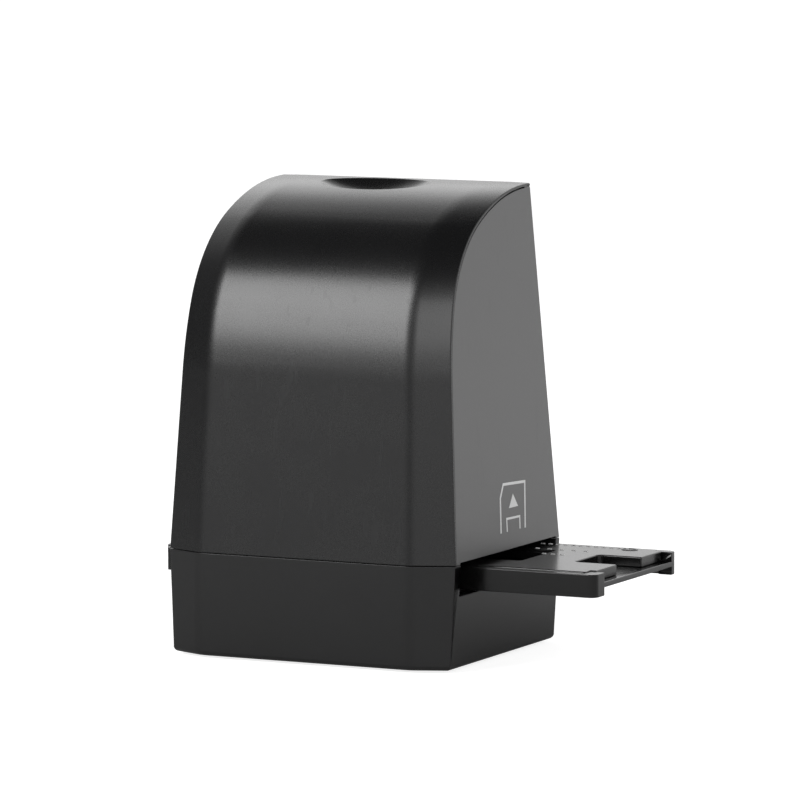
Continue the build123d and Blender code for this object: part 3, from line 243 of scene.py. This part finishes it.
class Tree:
    """Builds nodes in one tree."""

    def __init__(self, tree):
        self.tree = tree
        tree.nodes.clear()

    def node(self, kind, settings=None, *values, out=0, **named):
        """Node of a type with its settings, then values or links on its inputs."""
        made = self.tree.nodes.new(kind)
        for key, value in (settings or {}).items():
            if key == "stops":
                self.set_stops(made.color_ramp, value)
            else:
                setattr(made, key, value)
        for index, value in enumerate(values):
            self.join(made.inputs[index], value)
        for key, value in named.items():
            self.join(made.inputs[key.replace("_", " ")], value)
        return Field(self, made.outputs[out] if made.outputs else None)

    def join(self, target, value):
        if isinstance(value, Field):
            self.tree.links.new(value.socket, target)
        elif value is not None:
            target.default_value = value

    @staticmethod
    def set_stops(ramp, stops):
        while len(ramp.elements) < len(stops):
            ramp.elements.new(0.5)
        for element, (place, grey) in zip(ramp.elements, stops):
            element.position = place
            element.color = (grey, grey, grey, 1.0)

    def split(self, where):
        """Three separate fields of a vector."""
        made = self.tree.nodes.new("ShaderNodeSeparateXYZ")
        self.join(made.inputs[0], where)
        return [Field(self, output) for output in made.outputs]

    def place(self):
        """Object coordinates, in metres."""
        return self.node("ShaderNodeTexCoord", out="Object")

    def stretched(self, where, *scale):
        return self.node("ShaderNodeVectorMath", {"operation": "MULTIPLY"}, where, scale)

    def noise(self, where, size, detail=2.0):
        """Noise whose blotches are about a size across, in metres."""
        return self.node("ShaderNodeTexNoise", None, Vector=where, Scale=1.0 / size, Detail=detail)

    def mix_colours(self, factor, first, second):
        made = self.tree.nodes.new("ShaderNodeMix")
        made.data_type = "RGBA"
        self.join(made.inputs[0], factor)
        self.join(made.inputs[6], first)
        self.join(made.inputs[7], second)
        return Field(self, made.outputs[2])

    def bump(self, height, depth):
        """Normal of a relief whose full height is a depth in metres."""
        return self.node("ShaderNodeBump", None, Strength=1.0, Distance=depth, Height=height)


def tint(shade, factor=1.0):
    return (*[min(part * factor, 1.0) for part in shade], 1.0)


def principled(name, constants):
    """Material with one Principled shader, its tree and that shader's node."""
    material = bpy.data.materials.new(name)
    material.use_nodes = True
    tree = Tree(material.node_tree)
    shader = tree.node("ShaderNodeBsdfPrincipled", None, **constants)
    tree.node("ShaderNodeOutputMaterial", None, shader)
    return material, tree, shader.socket.node


def finish(material, tree, shader, colour=None, roughness=None, normal=None):
    for label, field in (("Base Color", colour), ("Roughness", roughness), ("Normal", normal)):
        tree.join(shader.inputs[label], field)
    return material


# ---- finishes --------------------------------------------------------------------------------
def moulded(name, shade, gloss, grain=0.32 * MM, relief=0.009 * MM, cloud=0.05, **constants):
    """Moulded plastic: fine spark-eroded grain, faint flow clouds and a few handling marks."""
    material, tree, shader = principled(name, {"IOR": 1.5, **constants})
    where = tree.place()
    fine = tree.noise(where, grain, detail=3.0)
    flow = tree.noise(where, 18 * MM, detail=3.0)
    speck = tree.noise(where, grain * 3)
    rubs = tree.noise(tree.stretched(where, 1.0, 1.0, 0.15), 2.4 * MM)
    mixed = tree.mix_colours(flow * 0.55 + speck * 0.45, tint(shade, 0.8), tint(shade, 1.2))
    rough = gloss + (flow - 0.5) * cloud + (fine - 0.5) * cloud + (rubs > 0.66) * 0.02
    return finish(material, tree, shader, mixed, rough, tree.bump(fine, relief))


def metal(name, shade, gloss, along=(1.0, 1.0, 1.0), size=0.4 * MM):
    """Drawn or plated metal with fine streaks and dull spots."""
    material, tree, shader = principled(name, {"Metallic": 1.0})
    where = tree.place()
    streak = tree.noise(tree.stretched(where, *along), size, detail=4.0)
    dull = tree.noise(where, 3.5 * MM)
    mixed = tree.mix_colours(streak * 0.6 + dull * 0.4, tint(shade, 0.72), tint(shade, 1.2))
    return finish(material, tree, shader, mixed, gloss + (streak - 0.5) * 0.14 + (dull - 0.5) * 0.1,
                  tree.bump(streak, 0.004 * MM))


def rubber(name, shade):
    """Matt foam rubber with open pores."""
    material, tree, shader = principled(name, {"Specular IOR Level": 0.3})
    where = tree.place()
    pores = tree.node("ShaderNodeTexVoronoi", None, Vector=where, Scale=1.0 / (0.7 * MM))
    dust = tree.noise(where, 5 * MM, detail=4.0)
    mixed = tree.mix_colours(dust * 0.7 + pores * 0.3, tint(shade, 0.7), tint(shade, 1.5))
    return finish(material, tree, shader, mixed, 0.85 + (dust - 0.5) * 0.1, tree.bump(pores, 0.05 * MM))


def board(name, shade):
    """Solder resist over copper tracks, with tinned pads in rows."""
    material, tree, shader = principled(name, {"IOR": 1.5})
    where = tree.place()
    _, y, z = tree.split(where)
    patches = tree.noise(where, 6 * MM) > 0.52
    tracks = (y.stripes(0.9 * MM, 0.45) * patches + z.stripes(0.9 * MM, 0.45) * (1 - patches)).clamped()
    pads = (y.stripes(2.54 * MM, 0.3) * z.stripes(2.54 * MM, 0.3) * (tree.noise(where, 9 * MM) > 0.55))
    weave = tree.noise(where, 0.25 * MM)
    resist = tree.mix_colours(tracks, tint(shade, 0.75), tint(shade, 1.35))
    mixed = tree.mix_colours(pads, resist, (0.55, 0.55, 0.52, 1.0))
    rough = 0.34 + (weave - 0.5) * 0.08 - pads * 0.1
    return finish(material, tree, shader, mixed, rough,
                  tree.bump(tracks * 0.6 + pads + weave * 0.2, 0.03 * MM))


def banded(name, light, dark, step, share, gloss, axis):
    """Plastic with straight bands across one axis, such as conductors under film."""
    material, tree, shader = principled(name, {"IOR": 1.5})
    where = tree.place()
    bands = tree.split(where)[axis].stripes(step, share)
    cloud = tree.noise(where, 2 * MM, detail=3.0)
    mixed = tree.mix_colours(bands * 0.8 + cloud * 0.2, tint(light), tint(dark))
    return finish(material, tree, shader, mixed, gloss + (cloud - 0.5) * 0.1,
                  tree.bump(bands * 0.5 + cloud * 0.1, 0.02 * MM))


def glass(name, shade):
    """Clear glass with a trace of dust."""
    material, tree, shader = principled(name, {"IOR": 1.52, "Transmission Weight": 1.0})
    where = tree.place()
    dust = tree.noise(where, 0.8 * MM, detail=4.0)
    mixed = tree.mix_colours(dust, tint(shade), tint(shade, 0.94))
    return finish(material, tree, shader, mixed, (dust > 0.64) * 0.05 + 0.01,
                  tree.bump(dust, 0.001 * MM))


def opal(name, shade, gloss, size, **constants):
    """Pale plastic or phosphor with soft mottling."""
    material, tree, shader = principled(name, {"IOR": 1.49, **constants})
    where = tree.place()
    mottle = tree.noise(where, size, detail=4.0)
    mixed = tree.mix_colours(mottle, tint(shade, 0.93), tint(shade, 1.04))
    return finish(material, tree, shader, mixed, gloss + (mottle - 0.5) * 0.12,
                  tree.bump(mottle, 0.006 * MM))


def finishes(scene):
    """Every finish by its slot's name, made once."""
    housing, holder, inside = scene.scanner_housing, scene.scanner_holder, scene.scanner_inside
    grain = housing.grain
    return {
        "cover_plastic": moulded("Cover plastic", housing.cover, 0.27, grain),
        "housing_plastic": moulded("Housing plastic", housing.base, 0.3, grain),
        # The panels' lighter colour is partly painted light on the right side, on top of the plastic's own
        # grey
        "panel_plastic": moulded("Panel plastic", housing.panel, 0.36, grain, 0.012 * MM,
                                 **{"Specular IOR Level": 0.78}),
        "holder_plastic": moulded("Holder plastic", holder.plastic, 0.2, 0.5 * MM, 0.006 * MM),
        "inner_plastic": moulded("Inner plastic", (0.014, 0.014, 0.015), 0.6, 0.5 * MM, 0.02 * MM),
        "button_plastic": moulded("Button plastic", (0.06, 0.06, 0.062), 0.3, 0.2 * MM),
        "switch_plastic": moulded("Switch plunger", (0.6, 0.6, 0.58), 0.45, 0.2 * MM),
        "switch_body": moulded("Switch body", (0.04, 0.04, 0.04), 0.5, 0.2 * MM),
        "pad_rubber": rubber("Pad rubber", (0.022, 0.022, 0.022)),
        "screw_steel": metal("Screw steel", (0.42, 0.42, 0.43), 0.34, (1.0, 1.0, 0.2)),
        "spring_steel": metal("Spring steel", (0.55, 0.55, 0.54), 0.25, (0.2, 1.0, 1.0)),
        "circuit_board": board("Circuit board", inside.board),
        "chip_black": moulded("Chip epoxy", (0.02, 0.02, 0.021), 0.55, 0.12 * MM, 0.01 * MM),
        "connector_white": opal("Connector nylon", (0.75, 0.72, 0.64), 0.45, 0.9 * MM),
        "reflector_white": opal("Reflector", (0.82, 0.82, 0.81), 0.6, 2.0 * MM),
        "diffuser_opal": opal("Diffuser", (0.86, 0.86, 0.84), 0.3, 3.0 * MM),
        "led_lens": opal("Lamp phosphor", (0.85, 0.78, 0.36), 0.35, 0.3 * MM),
        "barrel_metal": banded("Lens barrel", (0.03, 0.03, 0.032), (0.012, 0.012, 0.013),
                               0.75 * MM, 0.5, 0.38, 2),
        "lens_glass": glass("Lens glass", (0.93, 0.96, 0.97)),
        "filter_glass": glass("Filter glass", (0.6, 0.86, 0.88)),
        "socket_metal": metal("Socket tin", (0.6, 0.6, 0.58), 0.28, (1.0, 0.3, 1.0)),
        "ribbon_film": banded("Ribbon film", (0.62, 0.3, 0.07), (0.36, 0.16, 0.04),
                              1.0 * MM, 0.55, 0.35, 1),
        "lead_jacket": opal("Lead jacket", (0.36, 0.02, 0.018), 0.4, 0.6 * MM),
    }


# ---- mesh helpers ----------------------------------------------------------------------------
def new_piece(name, mesh):
    piece = bpy.data.objects.new(name, mesh)
    bpy.context.scene.collection.objects.link(piece)
    return piece


def settle(piece):
    """Plain mesh in place of a piece's modifiers."""
    graph = bpy.context.evaluated_depsgraph_get()
    mesh = bpy.data.meshes.new_from_object(piece.evaluated_get(graph))
    piece.modifiers.clear()
    piece.data = mesh
    return piece


def record_slot(node):
    """Material slot of a frame node, as its record names it."""
    return next(part["material_slot"] for part in frame["record"]["subparts"] if part["node"] == node)


def material_of(slot):
    """Finish of a slot, made with all the others the first time."""
    if not hasattr(material_of, "made"):
        material_of.made = finishes(bpy.context.scene)
    return material_of.made[slot]


def mounted(piece, body, material, replaced=()):
    """Piece with its finish, riding on a body, in place of frame nodes."""
    if material:
        piece.data.materials.clear()
        piece.data.materials.append(material)
    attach(piece, body)
    if replaced:
        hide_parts(*replaced)
    return piece


def outer_edges(work, sharp):
    """Sharp outward edges that nothing of the same mesh stands over."""
    tree = BVHTree.FromBMesh(work)
    for edge in work.edges:
        if not edge.is_manifold or edge.calc_face_angle(0.0) < sharp:
            continue
        edge.smooth = False
        if not edge.is_convex or edge.calc_length() < 0.02 * MM:
            continue
        out = (edge.link_faces[0].normal + edge.link_faces[1].normal).normalized()
        middle = (edge.verts[0].co + edge.verts[1].co) / 2
        if tree.ray_cast(middle + out * 0.02 * MM, out)[0] is None:
            yield edge, middle


def rounded_shell(node, width, share=lambda middle: 1.0, sharp=25.0, segments=3):
    """Merged copy of a frame node with its outer edges rounded, in place of that node."""
    mesh = frame["nodes"][node].data.copy()
    work = bmesh.new()
    work.from_mesh(mesh)
    bmesh.ops.remove_doubles(work, verts=work.verts, dist=0.001 * MM)
    bmesh.ops.dissolve_limit(work, angle_limit=math.radians(0.2), verts=work.verts, edges=work.edges)
    work.normal_update()
    for face in work.faces:
        face.smooth = True
    weights = work.edges.layers.float.new("bevel_weight_edge")
    for edge, middle in list(outer_edges(work, math.radians(sharp))):
        edge[weights] = share(middle)
        edge.smooth = edge[weights] > 0
    work.to_mesh(mesh)
    work.free()
    piece = new_piece(node + "_shell", mesh)
    bevel = piece.modifiers.new("Edges", "BEVEL")
    bevel.width = width
    bevel.segments = segments
    bevel.limit_method = "WEIGHT"
    bevel.use_clamp_overlap = False
    bevel.miter_outer = "MITER_ARC"
    weigh = piece.modifiers.new("Shading", "WEIGHTED_NORMAL")
    weigh.keep_sharp = True
    weigh.weight = 80
    settle(piece)
    slot = record_slot(node)
    return mounted(piece, frame["nodes"][node]["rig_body"], material_of(slot), (node,))


def prism(work, outline, place, low, high):
    """Closed prism over a flat outline, set in space by a function of two places and a height."""
    rings = [[work.verts.new(place(u, v, level)) for u, v in outline] for level in (low, high)]
    work.faces.new(rings[1])
    work.faces.new(rings[0][::-1])
    for number in range(len(outline)):
        after = (number + 1) % len(outline)
        work.faces.new((rings[0][number], rings[0][after], rings[1][after], rings[1][number]))


def stroke_outline(points, width, closed):
    """Two mitred sides of a line of one width: left one, then right one."""
    sides = ([], [])
    count = len(points)
    for number, point in enumerate(points):
        runs = []
        for first, second in ((number - 1, number), (number, number + 1)):
            if closed or 0 <= first and second < count:
                run = Vector(points[second % count]) - Vector(points[first % count])
                runs.append(Vector((-run.y, run.x)).normalized())
        across = sum(runs, Vector((0, 0))).normalized()
        reach = width / 2 / max(across.dot(runs[0]), 0.3)
        for side, sign in zip(sides, (1, -1)):
            side.append(tuple(Vector(point) + across * reach * sign))
    return sides


def stroke(work, points, width, closed, place, low, high):
    """Raised line of one width along points, with mitred corners."""
    left, right = stroke_outline(points, width, closed)
    if not closed:
        prism(work, left + right[::-1], place, low, high)
        return
    rings = [[work.verts.new(place(*spot, level)) for spot in side]
             for side, level in ((left, low), (right, low), (right, high), (left, high))]
    for number in range(len(points)):
        after = (number + 1) % len(points)
        for ring, beside in zip(rings, rings[1:] + rings[:1]):
            work.faces.new((ring[number], ring[after], beside[after], beside[number]))


def drawn(name, draw):
    """Piece whose closed solids are drawn by a function."""
    work = bmesh.new()
    draw(work)
    bmesh.ops.recalc_face_normals(work, faces=work.faces)
    mesh = bpy.data.meshes.new(name)
    work.to_mesh(mesh)
    work.free()
    return new_piece(name, mesh)


def row_tree():
    """Geometry node tree: a straight row of equal blocks."""
    group = bpy.data.node_groups.new("Row of blocks", "GeometryNodeTree")
    for label, kind in (("Geometry", "Geometry"), ("Count", "Int"), ("Start", "Vector"),
                        ("Step", "Vector"), ("Block", "Vector"), ("Material", "Material")):
        group.interface.new_socket(name=label, in_out="INPUT", socket_type="NodeSocket" + kind)
    group.interface.new_socket(name="Geometry", in_out="OUTPUT", socket_type="NodeSocketGeometry")
    tree = Tree(group)
    given = group.nodes.new("NodeGroupInput")
    entry = {output.name: Field(tree, output) for output in given.outputs if output.name}
    line = tree.node("GeometryNodeMeshLine", {"mode": "OFFSET"}, Count=entry["Count"],
                     Start_Location=entry["Start"], Offset=entry["Step"])
    block = tree.node("GeometryNodeMeshCube", None, Size=entry["Block"])
    row = tree.node("GeometryNodeInstanceOnPoints", None, Points=line, Instance=block)
    solid = tree.node("GeometryNodeRealizeInstances", None, Geometry=row)
    painted = tree.node("GeometryNodeSetMaterial", None, Geometry=solid, Material=entry["Material"])
    tree.node("NodeGroupOutput", None, painted)
    return group


def block_rows(name, rows, material):
    """One piece of several rows of blocks: each row's count, start, step and block size in mm."""
    group = bpy.data.node_groups.get("Row of blocks") or row_tree()
    keys = {item.name: item.identifier for item in group.interface.items_tree
            if item.item_type == "SOCKET" and item.in_out == "INPUT"}
    work = bmesh.new()
    for count, start, step, block in rows:
        row = new_piece("Row", bpy.data.meshes.new("Row"))
        modifier = row.modifiers.new("Row", "NODES")
        modifier.node_group = group
        modifier[keys["Count"]] = count
        for label, value in (("Start", start), ("Step", step), ("Block", block)):
            modifier[keys[label]] = [part * MM for part in value]
        modifier[keys["Material"]] = material
        settle(row)
        work.from_mesh(row.data)
        bpy.data.objects.remove(row)
    mesh = bpy.data.meshes.new(name)
    work.to_mesh(mesh)
    work.free()
    return new_piece(name, mesh)


# ---- operators -------------------------------------------------------------------------------
class SCANNER_OT_housing(bpy.types.Operator):
    """Makes the housing's shells with rounded edges and a crisp rim round the finger dish"""
    bl_idname = "scanner.housing"
    bl_label = "Housing"

    def execute(self, context):
        looks = context.scene.scanner_housing

        def by_dish(middle):
            """No rounding in the dish and round its rim."""
            x, y, z = middle / MM
            share = ((x - DISH[0]) / DISH[2]) ** 2 + ((y - DISH[1]) / DISH[3]) ** 2
            return 0.0 if z > ROOF_LOW and share < DISH_REACH else 1.0

        def by_seam(middle):
            """Less rounding along the parting line."""
            return 0.4 if abs(middle.z / MM - PART_Z) < 0.5 else 1.0

        rounded_shell("front_cover", looks.edge, by_dish)
        rounded_shell("base_housing", looks.edge, by_seam)
        for node in ("side_panel_left", "side_panel_right", "rear_cover"):
            rounded_shell(node, looks.edge * 0.6)
        self.lip_ends()
        return {"FINISHED"}

    def lip_ends(self):
        """Short beads that close the seam under the cover's lip at its two rear ends."""
        outline = [(LIP_END[0] - back, LIP_END[1] - back * ROOF_SLOPE - drop)
                   for back, drop in ((4.0, 1.5), (0.25, 1.5), (0.2, 0.8), (4.0, 0.8))]

        def draw(work):
            for side in (-1, 1):
                prism(work, outline, lambda y, z, x: Vector((x, y, z)) * MM,
                      *sorted(side * part for part in LIP_SPAN))

        mounted(drawn("lip_ends", draw), "housing", material_of("cover_plastic"))


class SCANNER_OT_holder(bpy.types.Operator):
    """Makes the film holder's tray and lid with rounded edges"""
    bl_idname = "scanner.holder"
    bl_label = "Film holder"

    def execute(self, context):
        looks = context.scene.scanner_holder
        rounded_shell("holder_tray", looks.edge * 0.6)
        rounded_shell("holder_lid", looks.edge)
        return {"FINISHED"}


class SCANNER_OT_button(bpy.types.Operator):
    """Makes the scan button's cap with a rounded edge, and a smooth-shaded copy of its coil"""
    bl_idname = "scanner.button"
    bl_label = "Scan button"

    def execute(self, context):
        rounded_shell("button_cap", context.scene.scanner_housing.edge)
        low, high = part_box("button_spring")
        mesh = frame["nodes"]["button_spring"].data.copy()
        work = bmesh.new()
        work.from_mesh(mesh)
        bmesh.ops.remove_doubles(work, verts=work.verts, dist=0.001 * MM)
        for face in work.faces:
            face.smooth = True
        work.to_mesh(mesh)
        work.free()
        coil = mounted(new_piece("button_coil", mesh), "housing", material_of("spring_steel"),
                       ("button_spring",))
        travel = next(joint["range_m"][1] for joint in frame["joints"] if joint["name"] == "button_press")
        1 - travel / (high.z - low.z)
        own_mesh(coil)
        return {"FINISHED"}


class SCANNER_OT_mark(bpy.types.Operator):
    """Prints the loading mark on the right side panel in a thin raised ink"""
    bl_idname = "scanner.mark"
    bl_label = "Printed mark"

    def execute(self, context):
        looks = context.scene.scanner_housing
        line = looks.line / MM

        def on_panel(y, z, height):
            return Vector((PANEL_HALF - PANEL_TAPER * (z - PART_Z) + height, y, z)) * MM

        def draw(work):
            stroke(work, MARK_HOLDER, line, False, on_panel, *INK)
            stroke(work, MARK_SLOT, line * 0.8, False, on_panel, *INK)
            prism(work, MARK_ARROW, on_panel, *INK)

        material, tree, shader = principled("Mark ink", {"IOR": 1.45})
        where = tree.place()
        dots = tree.noise(where, 0.15 * MM, detail=3.0)
        finish(material, tree, shader, tree.mix_colours(dots, tint(looks.ink, 0.88), tint(looks.ink, 1.05)),
               0.5 + (dots - 0.5) * 0.2, tree.bump(dots, 0.004 * MM))
        mounted(drawn("loading_mark", draw), "housing", material)
        return {"FINISHED"}


class SCANNER_OT_lid_marks(bpy.types.Operator):
    """Raises rows of ticks, picture arrows and a ring on the holder's lid"""
    bl_idname = "scanner.lid_marks"
    bl_label = "Lid's raised marks"

    def execute(self, context):
        looks = context.scene.scanner_holder
        material = material_of("holder_plastic")
        tick, ring = looks.tick / MM, looks.ring / MM
        lift = LID_TOP + MARK_RISE / 2 - 0.02
        rear, middle, front = 33.0, 22.0, 11.5
        rows = [(count, (first, back, lift), (step, 0, 0), (tick, 0.5, MARK_RISE))
                for count, first, back, step in ((looks.ticks, -50.0, rear, tick * 2),
                                                 (looks.ticks, 47.0, rear, tick * 2),
                                                 (5, 50.2, middle, 4.1), (3, 57.2, front, 3.0))]
        mounted(block_rows("lid_ticks", rows, material), "film_holder", None)

        def on_lid(x, y, level):
            return Vector((x, y, LID_TOP + level)) * MM

        def draw(work):
            steps, line = 40, 0.5
            reach = ring - 0.3
            turns = [2 * math.pi * step / steps for step in range(steps)]
            circle = [(77.2 + reach * math.cos(turn), 31.7 + reach * math.sin(turn) * 0.8)
                      for turn in turns]
            stroke(work, circle, line, True, on_lid, -0.03, MARK_RISE)
            for window in (-38.0, 0.0, 38.0):
                arrow = ((window - 1.4, -15.2), (window + 1.4, -15.2), (window, -12.6))
                prism(work, arrow, on_lid, -0.03, MARK_RISE)

        mounted(drawn("lid_arrows_and_ring", draw), "film_holder", material)
        return {"FINISHED"}


class SCANNER_OT_inside(bpy.types.Operator):
    """Adds the chips' legs and the connectors' pins on the main board"""
    bl_idname = "scanner.inside"
    bl_label = "Chip legs and pins"

    def execute(self, context):
        looks = context.scene.scanner_inside
        leg, pitch = looks.leg / MM, looks.pitch / MM
        low, high = (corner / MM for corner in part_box("board_chips"))
        rows = []
        for y, z, wide, tall in CHIPS:
            count = int((tall - 1.2) / pitch) + 1
            start = z - pitch * (count - 1) / 2
            for side in (-1, 1):
                place = (BOARD_FACE + 0.22, y + side * (wide / 2 + 0.35), start)
                rows.append((count, place, (0, 0, pitch), (*LEG_FOOT, leg)))
        inner_low, inner_high = (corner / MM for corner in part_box("board_connectors"))
        for middle, count in PLUGS:
            place = (inner_low.x + 1.5, middle - (count - 1) / 2, inner_low.z - 0.3)
            rows.append((count, place, (0, 1.0, 0), PIN))
        if not (low.x <= rows[0][1][0] <= high.x and inner_high.z > inner_low.z):
            raise RuntimeError("the chips aren't where their legs go")
        mounted(block_rows("chip_legs", rows, material_of("socket_metal")), "housing", None)
        return {"FINISHED"}


class SCANNER_OT_finishes(bpy.types.Operator):
    """Gives every part of the frame the finish of its slot"""
    bl_idname = "scanner.finishes"
    bl_label = "Finishes"

    def execute(self, context):
        for name, node in frame["nodes"].items():
            node.data.materials.clear()
            node.data.materials.append(material_of(record_slot(name)))
        return {"FINISHED"}


class SCANNER_OT_stage(bpy.types.Operator):
    """Sets the floor, the room's light, the softboxes and the camera"""
    bl_idname = "scanner.stage"
    bl_label = "Studio"

    def execute(self, context):
        context.scene.view_settings.view_transform = "Standard"
        looks = context.scene.scanner_studio
        self.camera(context.scene)
        self.floor()
        self.room(context.scene, looks)
        self.softbox("Softbox", looks.azimuth, looks.elevation, SOFTBOX, looks.power)
        self.softbox("Rear softbox", *REAR_ANGLES, REAR_SOFTBOX, looks.rear)
        self.softbox("Fill", *FILL_ANGLES, FILL, looks.fill)
        return {"FINISHED"}

    def camera(self, scene):
        """Camera at the photograph's angle."""
        view = bpy.data.cameras.new("Camera")
        view.lens, view.sensor_width, view.clip_end = CAMERA_LENS, 36.0, 50.0
        camera = new_piece("Camera", view)
        camera.location = CAMERA_PLACE
        flat = math.cos(CAMERA_DIP)
        look = Vector((-math.sin(CAMERA_TURN) * flat, math.cos(CAMERA_TURN) * flat,
                       -math.sin(CAMERA_DIP)))
        camera.rotation_euler = look.to_track_quat("-Z", "Y").to_euler()
        scene.camera = camera

    def floor(self):
        """Pale floor that keeps the scanner's shadow."""
        corners = [(x * FLOOR_HALF, y * FLOOR_HALF, 0) for x, y in ((-1, -1), (1, -1), (1, 1), (-1, 1))]
        mesh = bpy.data.meshes.new("Floor")
        mesh.from_pydata(corners, [], [(0, 1, 2, 3)])
        floor = new_piece("Floor", mesh)
        material = bpy.data.materials.new("Floor")
        material.use_nodes = True
        tree = Tree(material.node_tree)
        matt = tree.node("ShaderNodeBsdfDiffuse", None, Color=FLOOR_GREY)
        seen = tree.node("ShaderNodeLightPath", out="Is Camera Ray")
        mirrored = tree.node("ShaderNodeLightPath", out="Is Glossy Ray")
        through = tree.node("ShaderNodeLightPath", out="Is Transmission Ray")
        behind = tree.split(tree.place())[1].rising(0.05, 1 / 3)
        strength = seen * FLOOR_SEEN + (mirrored + through) * behind * FLOOR_MIRRORED
        glow = tree.node("ShaderNodeEmission", None, Color=(1, 1, 1, 1), Strength=strength)
        both = tree.node("ShaderNodeAddShader", None, matt, glow)
        tree.node("ShaderNodeOutputMaterial", None, both)
        floor.data.materials.append(material)

    def room(self, scene, looks):
        """Walls under a dark ceiling, dark on the left and in a gap in front, and white where seen."""
        scene.world = bpy.data.worlds.new("Studio")
        scene.world.use_nodes = True
        tree = Tree(scene.world.node_tree)
        x, y, z = tree.split(tree.node("ShaderNodeTexCoord", out="Generated"))
        behind = y.rising(0.0, 0.5)
        below_ceiling = 1.0 - z.rising(0.5, 1 / 3.2)
        right = x.rising(-0.05, 1 / 3.3)
        flag = (0.0 - x).rising(0.6, 0.2) * (1.0 - behind) * 0.95
        from_gap = x + 0.03
        gap = (1.0 - from_gap * from_gap * 45.0).clamped() * (1.0 - behind) * 0.75
        walls = (looks.front + right * looks.right + behind * looks.back) * (1.0 - flag) * (1.0 - gap)
        room = looks.zenith + walls * below_ceiling
        seen = tree.node("ShaderNodeLightPath", out="Is Camera Ray")
        through = tree.node("ShaderNodeLightPath", out="Is Transmission Ray")
        mirrored = tree.node("ShaderNodeLightPath", out="Is Glossy Ray")
        white = (seen + through + mirrored * behind * below_ceiling).clamped()
        background = tree.node("ShaderNodeBackground", None, Color=(1, 1, 1, 1),
                               Strength=room * (1.0 - white) + white)
        tree.node("ShaderNodeOutputWorld", None, background)

    def softbox(self, name, azimuth, elevation, size, power):
        """Area lamp that points at the scanner."""
        light = bpy.data.lights.new(name, "AREA")
        light.shape = "RECTANGLE"
        light.size, light.size_y, light.energy = *size, power
        lamp = new_piece(name, light)
        flat = math.cos(elevation)
        out = Vector((math.sin(azimuth) * flat, -math.cos(azimuth) * flat, math.sin(elevation)))
        lamp.location = AIM + out * LAMP_AWAY
        lamp.rotation_euler = (-out).to_track_quat("-Z", "Y").to_euler()


class SCANNER_PT_looks(bpy.types.Panel):
    """Sizes, colours and steps of the film scanner"""
    bl_label = "Film scanner"
    bl_space_type = "VIEW_3D"
    bl_region_type = "UI"
    bl_category = "Film scanner"

    def draw(self, context):
        for heading, group in SETTINGS.items():
            box = self.layout.box()
            box.label(text=heading.removeprefix("scanner_").capitalize())
            for key in group.__annotations__:
                box.prop(getattr(context.scene, heading), key)
        for step in STEPS:
            self.layout.operator(step.bl_idname)


SETTINGS = {"scanner_housing": ScannerHousingLooks, "scanner_holder": ScannerHolderLooks,
            "scanner_inside": ScannerInsideLooks, "scanner_studio": ScannerStudioLooks}
STEPS = (SCANNER_OT_finishes, SCANNER_OT_housing, SCANNER_OT_holder, SCANNER_OT_button, SCANNER_OT_mark,
         SCANNER_OT_lid_marks, SCANNER_OT_inside, SCANNER_OT_stage)


def register():
    for kind in (*SETTINGS.values(), *STEPS, SCANNER_PT_looks):
        bpy.utils.register_class(kind)
    for name, group in SETTINGS.items():
        setattr(bpy.types.Scene, name, PointerProperty(type=group))


def unregister():
    for name in SETTINGS:
        delattr(bpy.types.Scene, name)
    for kind in reversed((*SETTINGS.values(), *STEPS, SCANNER_PT_looks)):
        bpy.utils.unregister_class(kind)


def main():
    register()
    for step in STEPS:
        getattr(bpy.ops.scanner, step.bl_idname.split(".")[1])()


if __name__ == "__main__":
    main()
